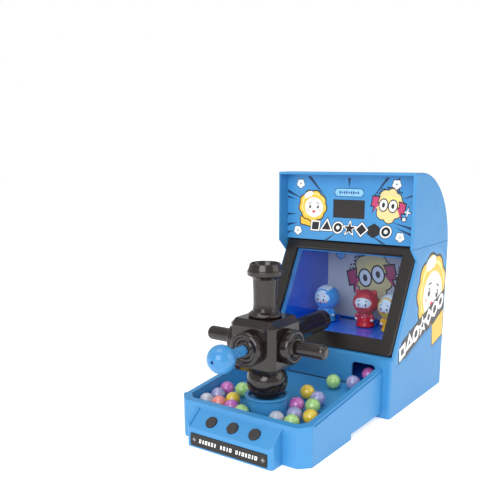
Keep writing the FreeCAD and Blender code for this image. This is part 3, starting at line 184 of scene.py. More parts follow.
SHINE_HEAD_ON = 0.022
SHINE_GRAZING = 0.9
pane_acrylic = bpy.data.materials.new("clear_acrylic_pane")
pane_acrylic.use_nodes = True
pane_acrylic.node_tree.nodes.remove(pane_acrylic.node_tree.nodes["Principled BSDF"])
clear = add(pane_acrylic, "ShaderNodeBsdfTransparent", {}, {"Color": linear("#F2F8FF")})
shine = add(pane_acrylic, "ShaderNodeBsdfGlossy", {}, {"Color": linear("#FFFFFF"), "Roughness": 0.05})
slant = add(pane_acrylic, "ShaderNodeLayerWeight", {}, {"Blend": 0.5})
steep = add(pane_acrylic, "ShaderNodeMath", {"operation": "POWER"}, {0: slant.outputs["Facing"], 1: 5.0})
share = add(pane_acrylic, "ShaderNodeMath", {"operation": "MULTIPLY_ADD"}, {
    0: steep.outputs[0], 1: SHINE_GRAZING, 2: SHINE_HEAD_ON})
both = add(pane_acrylic, "ShaderNodeMixShader", {}, {
    0: share.outputs[0], 1: clear.outputs["BSDF"], 2: shine.outputs["BSDF"]})
pane_acrylic.node_tree.links.new(
    both.outputs["Shader"], pane_acrylic.node_tree.nodes["Material Output"].inputs["Surface"])
finish(["window_pane"], pane_acrylic)


# ---- Chamber tub and return chute ----
# The play field's lining is a deep blue glossy moulding, its colour varying in soft flow marks. Within a
# few millimetres behind the pane it is painted pale blue: a painted highlight along the lit edge there.
tub_plastic = moulded_plastic("deep_blue_abs_gloss", "#0E62DC", "#1A6EE6", 0.14, grain=2.5, relief=0.002,
                              edge=0.4, swirl=60.0, IOR=1.55)
TUB_SLOPE = math.radians(28.28)
TUB_FRONT = Vector((0, math.cos(TUB_SLOPE), -math.sin(TUB_SLOPE)))
PANE_THICK = 2.0
RIM_HIGHLIGHT_DEPTH = 5.0
RIM_HIGHLIGHT_FADE = 2.0
pane_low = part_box("window_pane")[0]
pane_back = Vector((0, pane_low.y, pane_low.z)).dot(TUB_FRONT) + PANE_THICK * MM
depth = add(tub_plastic, "ShaderNodeVectorMath", {"operation": "DOT_PRODUCT"}, {
    0: add(tub_plastic, "ShaderNodeTexCoord").outputs["Object"], 1: TUB_FRONT})
# Painted highlight: the lining within a few millimetres of the pane's back is mixed to a pale blue, fading
# out over the next two millimetres.
rim = add(tub_plastic, "ShaderNodeMapRange", {}, {
    "Value": depth.outputs["Value"], "From Min": pane_back + RIM_HIGHLIGHT_DEPTH * MM,
    "From Max": pane_back + (RIM_HIGHLIGHT_DEPTH + RIM_HIGHLIGHT_FADE) * MM, "To Min": 1.0, "To Max": 0.0})
tub_shader = tub_plastic.node_tree.nodes["Principled BSDF"]
tub_colour_and_highlight = add(tub_plastic, "ShaderNodeMix", {"data_type": "RGBA"}, {
    0: rim.outputs["Result"], 6: tub_shader.inputs["Base Color"].links[0].from_socket, 7: linear("#5CB8F2")})
tub_plastic.node_tree.links.new(tub_colour_and_highlight.outputs[2], tub_shader.inputs["Base Color"])
finish(["chamber_tub", "return_chute"], tub_plastic)


# ---- Screws, pins and springs ----
# Zinc-plated steel: pan-head screws, hinge pins and springs, drawn or turned, so the sheen runs
# along fine lines a few tenths of a millimetre apart.
steel = bpy.data.materials.new("zinc_plated_steel")
steel.use_nodes = True
steel_shader = steel.node_tree.nodes["Principled BSDF"]
steel_shader.inputs["Metallic"].default_value = 1.0
steel_place = add(steel, "ShaderNodeTexCoord").outputs["Object"]
steel_lines = add(steel, "ShaderNodeTexNoise", {}, {"Vector": steel_place, "Scale": 1 / (0.4 * MM)})
steel_tone = add(steel, "ShaderNodeMix", {"data_type": "RGBA"}, {
    0: steel_lines.outputs["Fac"], 6: linear("#A9ABAF"), 7: linear("#C6C8CC")})
steel_rough = add(steel, "ShaderNodeMapRange", {}, {
    "Value": steel_lines.outputs["Fac"], "To Min": 0.26, "To Max": 0.42})
steel.node_tree.links.new(steel_tone.outputs[2], steel_shader.inputs["Base Color"])
steel.node_tree.links.new(steel_rough.outputs["Result"], steel_shader.inputs["Roughness"])
finish(["rear_cover_screws", "base_screws", "tray_cover_screws", "joining_screws", "pedestal_screws",
        "pivot_pin", "target_pins", "target_springs", "plunger_spring"], steel)


# ---- Circuit boards ----
# Green glass-fibre boards: solder mask over copper tracks about a millimetre wide, which show as
# slightly paler lines.
board = bpy.data.materials.new("green_solder_mask")
board.use_nodes = True
board_shader = board.node_tree.nodes["Principled BSDF"]
board_shader.inputs["Roughness"].default_value = 0.35
board_place = add(board, "ShaderNodeTexCoord").outputs["Object"]
tracks = add(board, "ShaderNodeTexBrick", {"offset": 0.5}, {
    "Vector": board_place, "Scale": 1 / (6 * MM), "Mortar Size": 0.08, "Color1": linear("#14522D"),
    "Color2": linear("#174F2E"), "Mortar": linear("#2C7A47")})
board.node_tree.links.new(tracks.outputs["Color"], board_shader.inputs["Base Color"])
finish(["main_board", "button_board", "lamp_strip"], board)


# ---- Batteries ----
# Three AA cells in printed metal wraps: a copper-coloured band at one end, black along the rest.
cell = bpy.data.materials.new("printed_cell_wrap")
cell.use_nodes = True
cell_shader = cell.node_tree.nodes["Principled BSDF"]
cell_shader.inputs["Roughness"].default_value = 0.3
cell_place = add(cell, "ShaderNodeTexCoord").outputs["Object"]
cell_along = add(cell, "ShaderNodeSeparateXYZ", {}, {"Vector": cell_place}).outputs["X"]
cell_band = add(cell, "ShaderNodeMath", {"operation": "GREATER_THAN"}, {0: cell_along, 1: 0.010})
cell_tone = add(cell, "ShaderNodeMix", {"data_type": "RGBA"}, {
    0: cell_band.outputs[0], 6: linear("#1B1B1D"), 7: linear("#B87333")})
cell.node_tree.links.new(cell_tone.outputs[2], cell_shader.inputs["Base Color"])
finish(["batteries"], cell)


# ---- Marbles ----
# Nineteen solid plastic marbles in pastel pearl colours, resting in the tray and one on the chute.
# A pearl pigment swirls through each, and a clear outer skin gives it a sharp highlight.
def pearl(name, shade, pale):
    """Pearl plastic: two close tones in a swirl 7 mm wide, under a clear skin."""
    return moulded_plastic(name, shade, pale, 0.3, grain=3.0, relief=0.001, edge=0.1, swirl=7.0,
                           Coat_Weight=1.0, Coat_Roughness=0.04, Subsurface_Weight=0.2,
                           Subsurface_Scale=0.002)


for colour, shade, pale in (("green", "#86C56A", "#C2E79C"), ("yellow", "#D8B51E", "#F0DC58"),
                            ("pink", "#B04FA8", "#D580CC"), ("violet", "#7C80BC", "#AEB0D8"),
                            ("coral", "#DE6E70", "#F2A298"), ("white", "#98A0B4", "#CFD3DE")):
    finish(["marbles_" + colour], pearl("pearl_" + colour, shade, pale))


# ---- Knock-down figures ----
# Three hollow vinyl dolls, each on a hinge tab behind its feet: a bell-shaped coat, a round hood with
# a rolled edge and a plain white face. They are cast in colour and the faces are printed on.
vinyl = {name: moulded_plastic("vinyl_" + name, shade, pale, 0.3, grain=1.6, relief=0.003, edge=0.1,
                               swirl=12.0, Subsurface_Weight=0.15, Subsurface_Scale=0.002)
         for name, shade, pale in (("blue", "#2E9BDD", "#3FA8E6"), ("red", "#CC1B2C", "#D92A38"),
                                   ("yellow", "#E9AE1E", "#F2BC2C"), ("white", "#E6E4E0", "#F0EEEA"),
                                   ("black", "#1A1718", "#221E1F"), ("pink", "#E58E8C", "#EB9A97"),
                                   ("mouth", "#A8243A", "#B22C40"))}
vinyl_numbers = {name: number for number, name in enumerate(vinyl)}
COAT = ((0, 0), (9.2, 0), (10.2, 0.7), (10.3, 2.0), (9.4, 3.4), (9.2, 6), (8.3, 12), (7.4, 17), (0, 17))
HEAD_UP = 27.0
HEAD_TO_TOP = 14.6
HOOD_R = 14.2
CAP_R = 14.55
CAP_HEM = 6.6
TAB = (7.6, 6, 3.6)


def paint(body, before, ink):
    """Gives the faces that were just made their vinyl."""
    for face in body.faces:
        if face not in before:
            face.material_index = vinyl_numbers[ink]
            face.smooth = True


def turned(body, outline, at, ink, steps=40, tilt=Matrix.Identity(3)):
    """A turned shape: its outline is (radius, height), spun about the upright through at."""
    before = set(body.faces)
    corners = [body.verts.new((radius, 0, height)) for radius, height in outline]
    edges = [body.edges.new(pair) for pair in zip(corners, corners[1:])]
    bmesh.ops.spin(body, geom=corners + edges, axis=(0, 0, 1), cent=(0, 0, 0), angle=2 * math.pi, steps=steps,
                   use_merge=True)
    new = list({v for f in body.faces if f not in before for v in f.verts} | set(corners))
    bmesh.ops.remove_doubles(body, verts=new, dist=0.001)
    new = list({v for f in body.faces if f not in before for v in f.verts})
    bmesh.ops.transform(body, verts=new, matrix=Matrix.Translation(at) @ tilt.to_4x4())
    paint(body, before, ink)


def rounded(body, at, size, ink, tilt=Matrix.Identity(3), fine=24):
    """An egg shape with the three half sizes given."""
    before = set(body.faces)
    new = bmesh.ops.create_uvsphere(body, u_segments=fine * 2, v_segments=fine, radius=1.0)["verts"]
    bmesh.ops.transform(body, verts=new, matrix=Matrix.Translation(at) @ tilt.to_4x4() @ Matrix.Diagonal(
        (*size, 1.0)))
    paint(body, before, ink)


def knock_down(word, ink, cap_lean, look, tufts):
    """One figure. cap_lean tips its white cap; look turns its face; tufts adds two round ones."""
    low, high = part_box("target_" + word)
    feet = Vector(((low.x + high.x) / 2, (low.y + high.y) / 2, high.z)) / MM
    feet.z -= HEAD_UP + HEAD_TO_TOP
    face_turn = Matrix.Rotation(math.radians(look), 3, "Z")
    head = Vector((0, 0, HEAD_UP))
    body = bmesh.new()
    turned(body, COAT, Vector((0, 0, 0)), ink)
    for side in (-1, 1):
        rounded(body, Vector((side * 8.6, -2.5, 11.0)), (2.6, 2.6, 4.2), ink,
                Matrix.Rotation(math.radians(side * -24), 3, "Y"), 12)
        rounded(body, Vector((side * 9.4, -3.6, 8.2)), (1.9, 1.9, 1.9), "white", fine=10)
    for height in (6.0, 11.0):
        rounded(body, Vector((0, -9.0 + height * 0.1, height)), (1.1, 0.7, 1.1), "white", fine=8)
    rounded(body, head, (HOOD_R, HOOD_R, HOOD_R), ink, fine=28)
    rounded(body, head + face_turn @ Vector((0, -4.0, 0.4)), (12.0, 10.6, 10.6), "white", face_turn, 28)
    rim = [(9.9 + 0.95 * math.cos(a), 0.95 * math.sin(a)) for a in [2 * math.pi * n / 12 for n in range(13)]]
    turned(body, rim, head + face_turn @ Vector((0, -10.0, 0.4)), ink, 48,
           face_turn @ Matrix.Rotation(math.radians(90), 3, "X"))
    for side in (-1, 1):
        for at, size, part, lean in (((3.7, -14.1, -0.6), (1.0, 0.5, 1.45), "black", 0),
                                     ((3.4, -14.5, 0.0), (0.34, 0.2, 0.4), "white", 0),
                                     ((6.3, -12.7, -3.4), (1.6, 0.5, 1.0), "pink", 0),
                                     ((3.9, -13.5, 3.6), (1.7, 0.45, 0.42), "black", 14)):
            rounded(body, head + face_turn @ Vector((side * at[0], at[1], at[2])), size, part,
                    face_turn @ Matrix.Rotation(math.radians(side * lean), 3, "Y"), 8)
    rounded(body, head + face_turn @ Vector((0, -14.0, -4.2)), (1.3, 0.5, 0.95), "mouth", face_turn, 8)
    if tufts:
        for side in (-1, 1):
            rounded(body, head + face_turn @ Vector((side * 9.0, 0, 10.6)), (3.4, 2.6, 3.4), ink, fine=14)
    else:
        before = set(body.faces)
        tip = Matrix.Rotation(math.radians(cap_lean), 3, "Y") @ Matrix.Rotation(math.radians(10), 3, "X")
        cap = bmesh.ops.create_uvsphere(body, u_segments=60, v_segments=28, radius=CAP_R)["verts"]
        edges = {e for v in cap for e in v.link_edges}
        faces = {f for v in cap for f in v.link_faces}
        cut = bmesh.ops.bisect_plane(body, geom=cap + list(edges) + list(faces), plane_co=(0, 0, CAP_HEM),
                                     plane_no=(0, 0, 1), clear_inner=True)["geom_cut"]
        hem = [e for e in cut if isinstance(e, bmesh.types.BMEdge)]
        for corner in {v for e in hem for v in e.verts}:
            corner.co.z -= 1.5 * abs(math.sin(3.5 * math.atan2(corner.co.y, corner.co.x)))
        bmesh.ops.contextual_create(body, geom=hem)
        new = list({v for f in body.faces if f not in before for v in f.verts})
        bmesh.ops.transform(body, verts=new, matrix=Matrix.Translation(head) @ tip.to_4x4())
        paint(body, before, "white")
    tab = bmesh.ops.create_cube(body, size=1.0)["verts"]
    bmesh.ops.transform(body, verts=tab,
                        matrix=Matrix.Translation((0, 6.2, 3.6)) @ Matrix.Diagonal((*TAB, 1)))
    for face in {f for v in tab for f in v.link_faces}:
        face.material_index = vinyl_numbers[ink]
    turned(body, ((1.05, -4), (3.0, -4), (3.0, 4), (1.05, 4), (1.05, -4)), Vector((0, 11.0, 3.6)), ink, 28,
           Matrix.Rotation(math.radians(90), 3, "Y"))
    bmesh.ops.recalc_face_normals(body, faces=body.faces)
    bmesh.ops.transform(body, verts=body.verts, matrix=Matrix.Scale(MM, 4) @ Matrix.Translation(feet))
    mesh = bpy.data.meshes.new("knock_down_" + word)
    body.to_mesh(mesh)
    body.free()
    for material in vinyl.values():
        mesh.materials.append(material)
    piece = bpy.data.objects.new("knock_down_" + word, mesh)
    bpy.context.scene.collection.objects.link(piece)
    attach(piece, "figure_" + word)
    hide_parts("target_" + word)


for word, ink, cap_lean, look, tufts in (("left", "blue", -32, -4, False), ("middle", "red", 0, 8, True),
                                         ("right", "yellow", 12, -12, False)):
    knock_down(word, ink, cap_lean, look, tufts)


# ---- Marquee print ----
# A printed film covers the sloped head's front panel: speed lines, a smiling sun at the left, a
# comic burst at the right, a pill badge over the score window and a row of bold shapes under it.
# Each ink is a closed wafer laid on the film, a few hundredths of a millimetre thick or more.
INK_STEP = 0.018
INK_BASE = 0.02
HAIR = 0.0002
HAIR_STEPS = 101
NO_LIMIT = 1e9


def ink_material(name, shade, rough=0.35):
    """Screen-printed ink on film: nearly even, with a faint grain of 0.8 mm."""
    return moulded_plastic("ink_" + name, shade, shade, rough, grain=0.8, relief=0.002, edge=0.02)


inks = {name: ink_material(name, shade) for name, shade in (
    ("black", "#14141C"), ("white", "#F6F6F4"), ("yellow", "#F3C03A"), ("pale_yellow", "#FBE08A"),
    ("magenta", "#C23E6E"), ("red", "#D2263A"), ("cream", "#F1D796"), ("cabinet_blue", CABINET_BLUE_PALE),
    ("navy", "#12355E"), ("sky", "#86C4F4"), ("grey", "#8C8C90"), ("peach", "#F4B9A0"))}
ink_numbers = {name: number for number, name in enumerate(inks)}


def lift(sheet, face, ink, layer, base):
    """Makes a flat outline into a closed wafer that reaches its layer's height.

    Inks of one layer differ by a hair in height, so where two overlap one lies clear of the other.
    """
    raised = bmesh.ops.extrude_face_region(sheet, geom=[face])
    corners = [item for item in raised["geom"] if isinstance(item, bmesh.types.BMVert)]
    overlap = HAIR * (len(sheet.faces) % HAIR_STEPS)
    bmesh.ops.translate(sheet, verts=corners, vec=(0, 0, base + INK_STEP * layer + overlap))
    for part in {f for corner in corners for f in corner.link_faces} | {face}:
        part.material_index = ink_numbers[ink]


def stamp(sheet, ink, layer, at, size, points=36, form=None, turn=0.0, lean=0.0, limit=NO_LIMIT,
          base=INK_BASE, apart=0.0):
    """A round printed shape: size is its half width and half height, form its radius at each point.

    apart draws its two halves away from each other, limit is where the film ends across.
    """
    ring = bmesh.ops.create_circle(sheet, cap_ends=True, radius=1.0, segments=points)["verts"]
    for number, corner in enumerate(ring):
        if form:
            corner.co *= form(number / points)
    across, up = size if isinstance(size, tuple) else (size, size)
    bmesh.ops.scale(sheet, verts=ring, vec=(across, up, 1))
    for corner in ring:
        corner.co.x += math.copysign(apart, corner.co.x)
    bmesh.ops.rotate(sheet, verts=ring, matrix=Matrix.Rotation(math.radians(turn), 3, "Z"))
    for corner in ring:
        corner.co.x = min(corner.co.x + lean * corner.co.y + at[0], limit)
        corner.co.y += at[1]
    lift(sheet, ring[0].link_faces[0], ink, layer, base)


def patch(sheet, ink, layer, corners, base=INK_BASE):
    """A straight-sided printed shape."""
    face = sheet.faces.new([sheet.verts.new((x, y, 0)) for x, y in corners])
    lift(sheet, face, ink, layer, base)


def lobes(count, depth):
    """The radius of a scalloped outline."""
    return lambda share: 1 - depth + depth * abs(math.sin(math.pi * count * share))


def puffs(rounds, grow):
    """The radius of a cloud: the outline of overlapping rounds, each (across, up, radius)."""
    def reach(share):
        ray = Vector((math.cos(2 * math.pi * share), math.sin(2 * math.pi * share)))
        ends = []
        for across, up, radius in rounds:
            along = ray.dot((across, up))
            rest = (radius + grow) ** 2 - across ** 2 - up ** 2 + along ** 2
            if rest > 0:
                ends.append(along + math.sqrt(rest))
        return max(ends)
    return reach


def star(points, inner):
    """The radius of a star with straight sides."""
    def reach(share):
        step = (share * points) % 1
        near = abs(step - 0.5) * 2
        return inner + (1 - inner) * near ** 2
    return reach


def printed(name, sheet, origin, across, up, body):
    """Lays a finished sheet on its surface, in the row frame, and hands it over."""
    out = across.cross(up)
    place = Matrix((across, up, out)).transposed().to_4x4()
    place.translation = origin
    bmesh.ops.transform(sheet, verts=sheet.verts, matrix=place @ Matrix.Scale(MM, 4))
    bmesh.ops.recalc_face_normals(sheet, faces=sheet.faces)
    mesh = bpy.data.meshes.new(name)
    sheet.to_mesh(mesh)
    sheet.free()
    for ink in inks.values():
        mesh.materials.append(ink)
    piece = bpy.data.objects.new(name, mesh)
    bpy.context.scene.collection.objects.link(piece)
    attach(piece, body)
    return piece


def smiling_sun(sheet, at, size, layer=1, turn=0.0, limit=NO_LIMIT, base=INK_BASE):
    """A generic smiling sun: scalloped rays, a pale highlight, a white face, two eyes and a mouth."""
    def spot(ink, level, x, y, w, h, points=28, form=None, tip=0.0):
        a = math.radians(turn)
        where = (at[0] + size * (x * math.cos(a) - y * math.sin(a)),
                 at[1] + size * (x * math.sin(a) + y * math.cos(a)))
        stamp(sheet, ink, layer + level, where, (size * w, size * h), points, form, turn + tip,
              limit=limit, base=base)
    spot("black", 0, 0, 0, 1.0, 0.98, 96, lobes(9, 0.09))
    spot("yellow", 1, 0, 0, 0.93, 0.91, 96, lobes(9, 0.09))
    spot("pale_yellow", 2, 0.03, 0.02, 0.80, 0.78, 96, lobes(9, 0.07))
    spot("yellow", 3, 0.06, -0.02, 0.72, 0.70, 48)
    spot("white", 4, -0.28, 0.66, 0.34, 0.17, 48, lobes(4, 0.12), 24)
    spot("white", 4, 0.08, -0.08, 0.62, 0.58, 48)
    for side in (-1, 1):
        x = 0.08 + side * 0.27
        spot("black", 5, x, -0.04, 0.085, 0.11)
        spot("black", 5, x, 0.17, 0.13, 0.022, 12, None, -side * 14)
        spot("peach", 5, x + side * 0.13, -0.25, 0.085, 0.05)
        spot("white", 6, x - 0.02, 0.0, 0.035, 0.04)
    spot("red", 5, 0.08, -0.33, 0.11, 0.075)


CLOUD = ((-0.35, 0.33, 0.33), (0.08, 0.46, 0.36), (0.5, 0.3, 0.33), (0.72, -0.02, 0.24),
         (-0.5, -0.05, 0.30), (-0.2, -0.36, 0.28), (0.22, -0.42, 0.3), (0.5, -0.3, 0.26))
BOLT = ((-0.20, 0.38), (0.14, 0.42), (0.08, 0.10), (0.22, 0.12), (-0.08, -0.42), (-0.03, -0.08),
        (-0.20, -0.10))


def comic_burst(sheet, at, size, layer=1, turn=0.0):
    """A comic cloud with halftone dots, two slanted bolts, two white balls and a sparkle."""
    def place(x, y):
        spot = Matrix.Rotation(math.radians(turn), 2) @ Vector((x, y)) * size
        return at[0] + spot.x, at[1] + spot.y
    for row in range(7):
        for step in range(13):
            x = -1.0 + 0.12 * step + 0.06 * (row % 2)
            y = 0.98 - 0.12 * row
            if math.hypot(x, y) < 1.05 and x < 0.5:
                stamp(sheet, "black", layer, place(x, y), size * 0.046 * (1.25 - 0.1 * row), 8, turn=turn)
    stamp(sheet, "black", layer + 1, at, size, 144, puffs(CLOUD, 0.045), turn)
    stamp(sheet, "cream", layer + 2, at, size, 144, puffs(CLOUD, 0.0), turn)
    stamp(sheet, "pale_yellow", layer + 3, place(0.12, 0.3), (size * 0.5, size * 0.34), 60,
          lobes(5, 0.16), turn)
    for side, x, y in ((1, -0.8, 0.0), (-1, 0.62, -0.06)):
        for ink, level, grow in (("black", 4, 0.06), ("magenta", 5, 0.0)):
            patch(sheet, ink, layer + level, [place(x + side * (a + math.copysign(grow, a)),
                                                    y + b + math.copysign(grow, b)) for a, b in BOLT])
    for x, y in ((-0.36, 0.06), (0.16, 0.10)):
        for ink, level, wide, tall in (("black", 5, 0.27, 0.35), ("white", 6, 0.215, 0.29),
                                       ("black", 7, 0.085, 0.13)):
            stamp(sheet, ink, layer + level, place(x, y), (size * wide, size * tall), turn=turn)
    for ink, level, grow in (("black", 6, 0.27), ("white", 7, 0.19)):
        stamp(sheet, ink, layer + level, place(1.0, -0.06), (size * grow, size * grow * 1.35), 32,
              star(4, 0.22), turn)
        stamp(sheet, ink, layer + level, place(0.88, -0.44), size * grow * 0.5, 20)


ROW = ((4, None, 45, 1.2), (3, None, 0, 1.3), (24, None, 0, 1.0), (40, (5, 0.42), 0, 1.35), (4, None, 0, 1.2),
       (6, None, 0, 1.1), (24, None, 0, 1.0))


def shape_row(sheet, at, size, pitch, climb, turn, rims, layer, lean=0.12, base=INK_BASE):
    """A row of seven bold shapes in place of a title. rims: ink and width, outermost first."""
    for number, (points, form, tip, grow) in enumerate(ROW):
        spot = (at[0] + pitch * (number - 3), at[1] + climb * (number - 3))
        for level, (ink, rim) in enumerate(rims):
            wider = rim * {3: 1.9, 4: 1.35, 40: 1.7}.get(points, 1.05)
            stamp(sheet, ink, layer + level, spot, size * grow + wider, points, star(*form) if form else None,
                  tip + turn, lean, base=base)
        if points == 24 and rims[-1][1] == 0:
            stamp(sheet, rims[-2][0], layer + len(rims), spot, size * 0.42, 20, lean=lean, base=base)


marquee = bmesh.new()
SPEED_LINES = (
    ((-74.6, 216), (-74.6, 212.5), (-55, 206)), ((-74.6, 209), (-74.6, 207), (-62, 205)),
    ((-74.6, 190.5), (-74.6, 188), (-62.5, 189.5)), ((-74.6, 179), (-74.6, 176), (-61, 180.5)),
    ((-74.6, 170), (-74.6, 167.5), (-66, 171.5)), ((-50, 230), (-45, 230), (-27, 208)),
    ((-1.7, 229), (1.7, 229), (0, 218.5)), ((41, 230), (45, 230), (26, 209)),
    ((54, 230), (56, 230), (50, 222)),
    ((74.6, 216), (74.6, 213), (58, 209)), ((74.6, 207.5), (74.6, 206), (66, 205)),
    ((74.6, 198), (74.6, 196), (67, 197)), ((74.6, 181), (74.6, 177.5), (48, 186)),
    ((74.6, 174), (74.6, 170.5), (50, 182)), ((-24, 163.5), (-28, 163.5), (-14, 172)),
    ((38, 163.5), (43, 163.5), (24, 173)))
for corners in SPEED_LINES:
    patch(marquee, "navy", 0, corners)
for x, y in ((-58.2, 222.3), (-61.3, 171.9), (52.1, 223.4), (57.8, 171.4)):
    stamp(marquee, "black", 1, (x, y), 5.6, 48, lobes(5, 0.24))
    stamp(marquee, "white", 2, (x, y), 4.9, 48, lobes(5, 0.24))
    stamp(marquee, "grey", 3, (x, y), 1.0, 12)
patch(marquee, "black", 1, ((-59, 188), (-36, 184), (-40, 175), (-58.5, 178.5)))
patch(marquee, "yellow", 2, ((-58, 187), (-37, 183), (-41, 176.2), (-57.3, 179.6)))
smiling_sun(marquee, (-43, 199), 18.0, 3)
comic_burst(marquee, (45.5, 200.5), 19.5, 1, -9)
for ink, layer, edge in (("navy", 1, 4.5), ("sky", 2, 3.8)):
    stamp(marquee, ink, layer, (0.0, 214.1), edge, 30, apart=12.5)
for step in range(9):
    stamp(marquee, "navy", 3, (-10.4 + 2.6 * step, 214.1), (0.85, (1.9, 1.0, 1.5)[step % 3]), 16)
shape_row(marquee, (1.5, 177.0), 4.9, 13.6, -0.35, 0, (("black", 2.1), ("white", 1.4), ("black", 0.0)), 4)
panel_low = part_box("marquee_panel")[0]
printed("marquee_print", marquee, Vector((0, panel_low.y, 0)), Vector((1, 0, 0)), Vector((0, 0, 1)),
        "console")
film = moulded_plastic("printed_film_blue", "#3080C0", "#479AD2", 0.3, grain=0.8, relief=0.002, edge=0.2,
                       swirl=30.0)
finish(["marquee_panel"], film)


# ---- Side labels ----
# Each side wall has a shallow die-cut recess with a printed vinyl label in it: the same smiling sun
# behind a slanting banner of bold shapes. The label's ground is cabinet blue, so its edge hardly shows.
LABEL = ((11.7, 51.2), (33.0, 52.2), (103.1, 74.8), (104.2, 47.8), (136.2, 55.2), (136.2, 142.9),
         (125.8, 152.3), (109.9, 158.1), (88.1, 158.1), (70.2, 151.3), (57.7, 136.9), (52.7, 118.0),
         (53.7, 100.1), (57.7, 88.4), (20.2, 74.3))
LABEL_SINK = 0.24
LABEL_END = 136.0


def side_label(side):
    """One side's label, drawn as (distance back, height); the left one is its mirror image."""
    sheet = bmesh.new()
    patch(sheet, "cabinet_blue", 0, LABEL)
    patch(sheet, "black", 1, ((105.2, 49.0), (135.9, 56.0), (135.9, 92), (101, 84)))
    patch(sheet, "yellow", 2, ((106.6, 50.6), (135.9, 57.4), (135.9, 92), (102.6, 84)))
    smiling_sun(sheet, (98.0, 112.0), 43.0, 1, -12, LABEL_END)
    patch(sheet, "black", 8, ((17, 54.0), (33, 54.2), (102, 76.4), (105, 74), (136, 86), (136, 109),
                             (100, 98), (57, 84.5), (23, 73.2)))
    shape_row(sheet, (75.5, 79.5), 8.0, 16.6, 5.6, 19.0,
              (("black", 2.0), ("white", 0.4), ("black", -3.8)), 9, 0.25)
    bmesh.ops.scale(sheet, verts=sheet.verts, vec=(side, 1, 1))
    return sheet


wall_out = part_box("lower_cabinet")[1].x
for side, word in ((1, "right"), (-1, "left")):
    sheet = side_label(side)
    printed("label_" + word, sheet, Vector((side * (wall_out - LABEL_SINK * MM), front_wall, 0)),
            Vector((0, side, 0)), Vector((0, 0, 1)), "console")


# ---- Backdrop card ----
# A printed card closes the back of the play field: white stock, coloured pale grey as painted shade for
# the inside of the play field, with a comic burst and halftone dots, and a flower at each side.
# The card's pale grey is painted shade for the inside of the play field; the stock itself is white.
card = moulded_plastic("card_stock_painted_shade_grey", "#CFC9C8", "#DAD5D2", 0.6, grain=0.5, relief=0.01, edge=0.1,
                       swirl=20.0)
finish(["backdrop_card"], card)
backdrop = bmesh.new()
comic_burst(backdrop, (-1.0, 114.0), 32.0, 1, 14)
for x, y in ((-45, 138), (48, 84)):
    stamp(backdrop, "black", 1, (x, y), 6.6, 48, lobes(5, 0.24))
    stamp(backdrop, "sky", 2, (x, y), 5.9, 48, lobes(5, 0.24))
card_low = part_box("backdrop_card")[0]
printed("backdrop_print", backdrop, Vector((0, card_low.y, 0)), Vector((1, 0, 0)), Vector((0, 0, 1)),
        "console")


# ---- Nameplate ----
# A black printed plate on the console's front, with a small knot ornament at each end and a row of
# pale dashes where a name would be.
plate_film = moulded_plastic("black_printed_plate", "#0C0809", "#110D0E", 0.3, relief=0.002, edge=0.2)
finish(["nameplate"], plate_film)
plate = bmesh.new()
plate_low, plate_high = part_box("nameplate")
plate_middle = (plate_low.z + plate_high.z) / 2 / MM
for side in (-1, 1):
    x = side * 36.6
    for turn in (0, 90):
        stamp(plate, "grey", 0, (x, plate_middle), (2.6, 0.9), 4, turn=turn)
    stamp(plate, "grey", 0, (x, plate_middle), 1.3, 4, turn=45)
for step in range(19):
    x = -29.7 + 3.3 * step
    if step not in (6, 11):
        wide = (1.1, 0.6, 1.3, 0.8)[step % 4]
        patch(plate, "white", 0, ((x - wide - 0.3, plate_middle - 1.8), (x + wide - 0.3, plate_middle - 1.8),
                                  (x + wide + 0.3, plate_middle + 1.8), (x - wide + 0.3, plate_middle + 1.8)))
        if wide > 1.0:
            patch(plate, "black", 1, ((x - 0.5, plate_middle - 0.9), (x + 0.3, plate_middle - 0.9),
                                      (x + 0.5, plate_middle + 0.9), (x - 0.3, plate_middle + 0.9)))
printed("nameplate_print", plate, Vector((0, plate_low.y, 0)), Vector((1, 0, 0)), Vector((0, 0, 1)),
        "console")


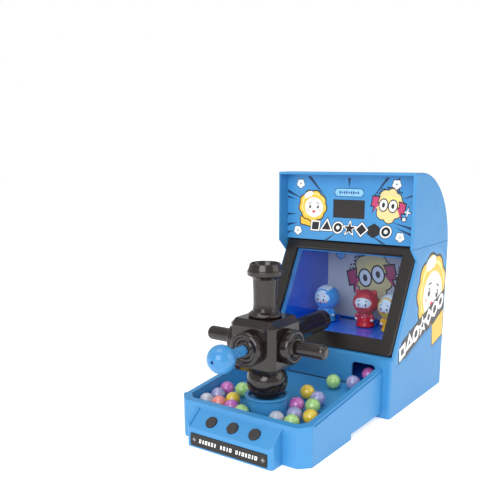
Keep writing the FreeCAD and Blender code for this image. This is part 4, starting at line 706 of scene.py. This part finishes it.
# ---- Floor, light and camera ----
# A pale sweep, three soft boxes and an even white surround.
floor_sheet = bmesh.new()
bmesh.ops.create_grid(floor_sheet, x_segments=1, y_segments=1, size=6.0)
floor_mesh = bpy.data.meshes.new("studio_floor")
floor_sheet.to_mesh(floor_mesh)
floor_sheet.free()
floor = bpy.data.objects.new("studio_floor", floor_mesh)
floor.location = (0, 0, -0.0002)
bpy.context.scene.collection.objects.link(floor)
paper = bpy.data.materials.new("studio_paper")
paper.use_nodes = True
paper_shader = paper.node_tree.nodes["Principled BSDF"]
paper_shader.inputs["Base Color"].default_value = linear("#F4F4F4")
paper_shader.inputs["Roughness"].default_value = 0.9
paper_shader.inputs["Emission Color"].default_value = linear("#FFFFFF")
paper_shader.inputs["Emission Strength"].default_value = 0.52
floor_mesh.materials.append(paper)

for name, place, size, power in (("front", (0.32, -1.46, 0.78), 1.15, 14.0),
                                 ("right", (1.35, 0.48, 0.68), 1.15, 5.0),
                                 ("top", (-0.2, -0.3, 1.7), 1.2, 8.0)):
    lamp = bpy.data.lights.new("softbox_" + name, "AREA")
    lamp.shape = "DISK"
    lamp.size = size
    lamp.energy = power
    box = bpy.data.objects.new("softbox_" + name, lamp)
    box.location = place
    box.rotation_euler = (Vector((0, 0, 0.1)) - Vector(place)).to_track_quat("-Z", "Y").to_euler()
    bpy.context.scene.collection.objects.link(box)

world = bpy.data.worlds.new("studio")
bpy.context.scene.world = world
world.use_nodes = True
seen = add(world, "ShaderNodeMapRange", {}, {
    "Value": add(world, "ShaderNodeLightPath").outputs["Is Camera Ray"], "To Min": 0.6, "To Max": 1.0})
surround = world.node_tree.nodes["Background"]
surround.inputs["Color"].default_value = (1, 1, 1, 1)
world.node_tree.links.new(seen.outputs["Result"], surround.inputs["Strength"])
bpy.context.scene.view_settings.view_transform = "Standard"

CAMERA_AZIMUTH = 35.766
CAMERA_PITCH = -12.571
CAMERA_ROLL = -0.257
lens = bpy.data.cameras.new("product_camera")
lens.sensor_width = 36.0
lens.lens = 50.6
lens.shift_x = -0.0128
lens.shift_y = 0.1383
lens.clip_start = 0.01
camera = bpy.data.objects.new("product_camera", lens)
turn = (Matrix.Rotation(math.radians(CAMERA_AZIMUTH), 4, "Z")
        @ Matrix.Rotation(math.radians(90 + CAMERA_PITCH), 4, "X")
        @ Matrix.Rotation(math.radians(CAMERA_ROLL), 4, "Z"))
camera.matrix_world = Matrix.Translation((0.32593, -0.56297, 0.25159)) @ turn
bpy.context.scene.collection.objects.link(camera)
bpy.context.scene.camera = camera
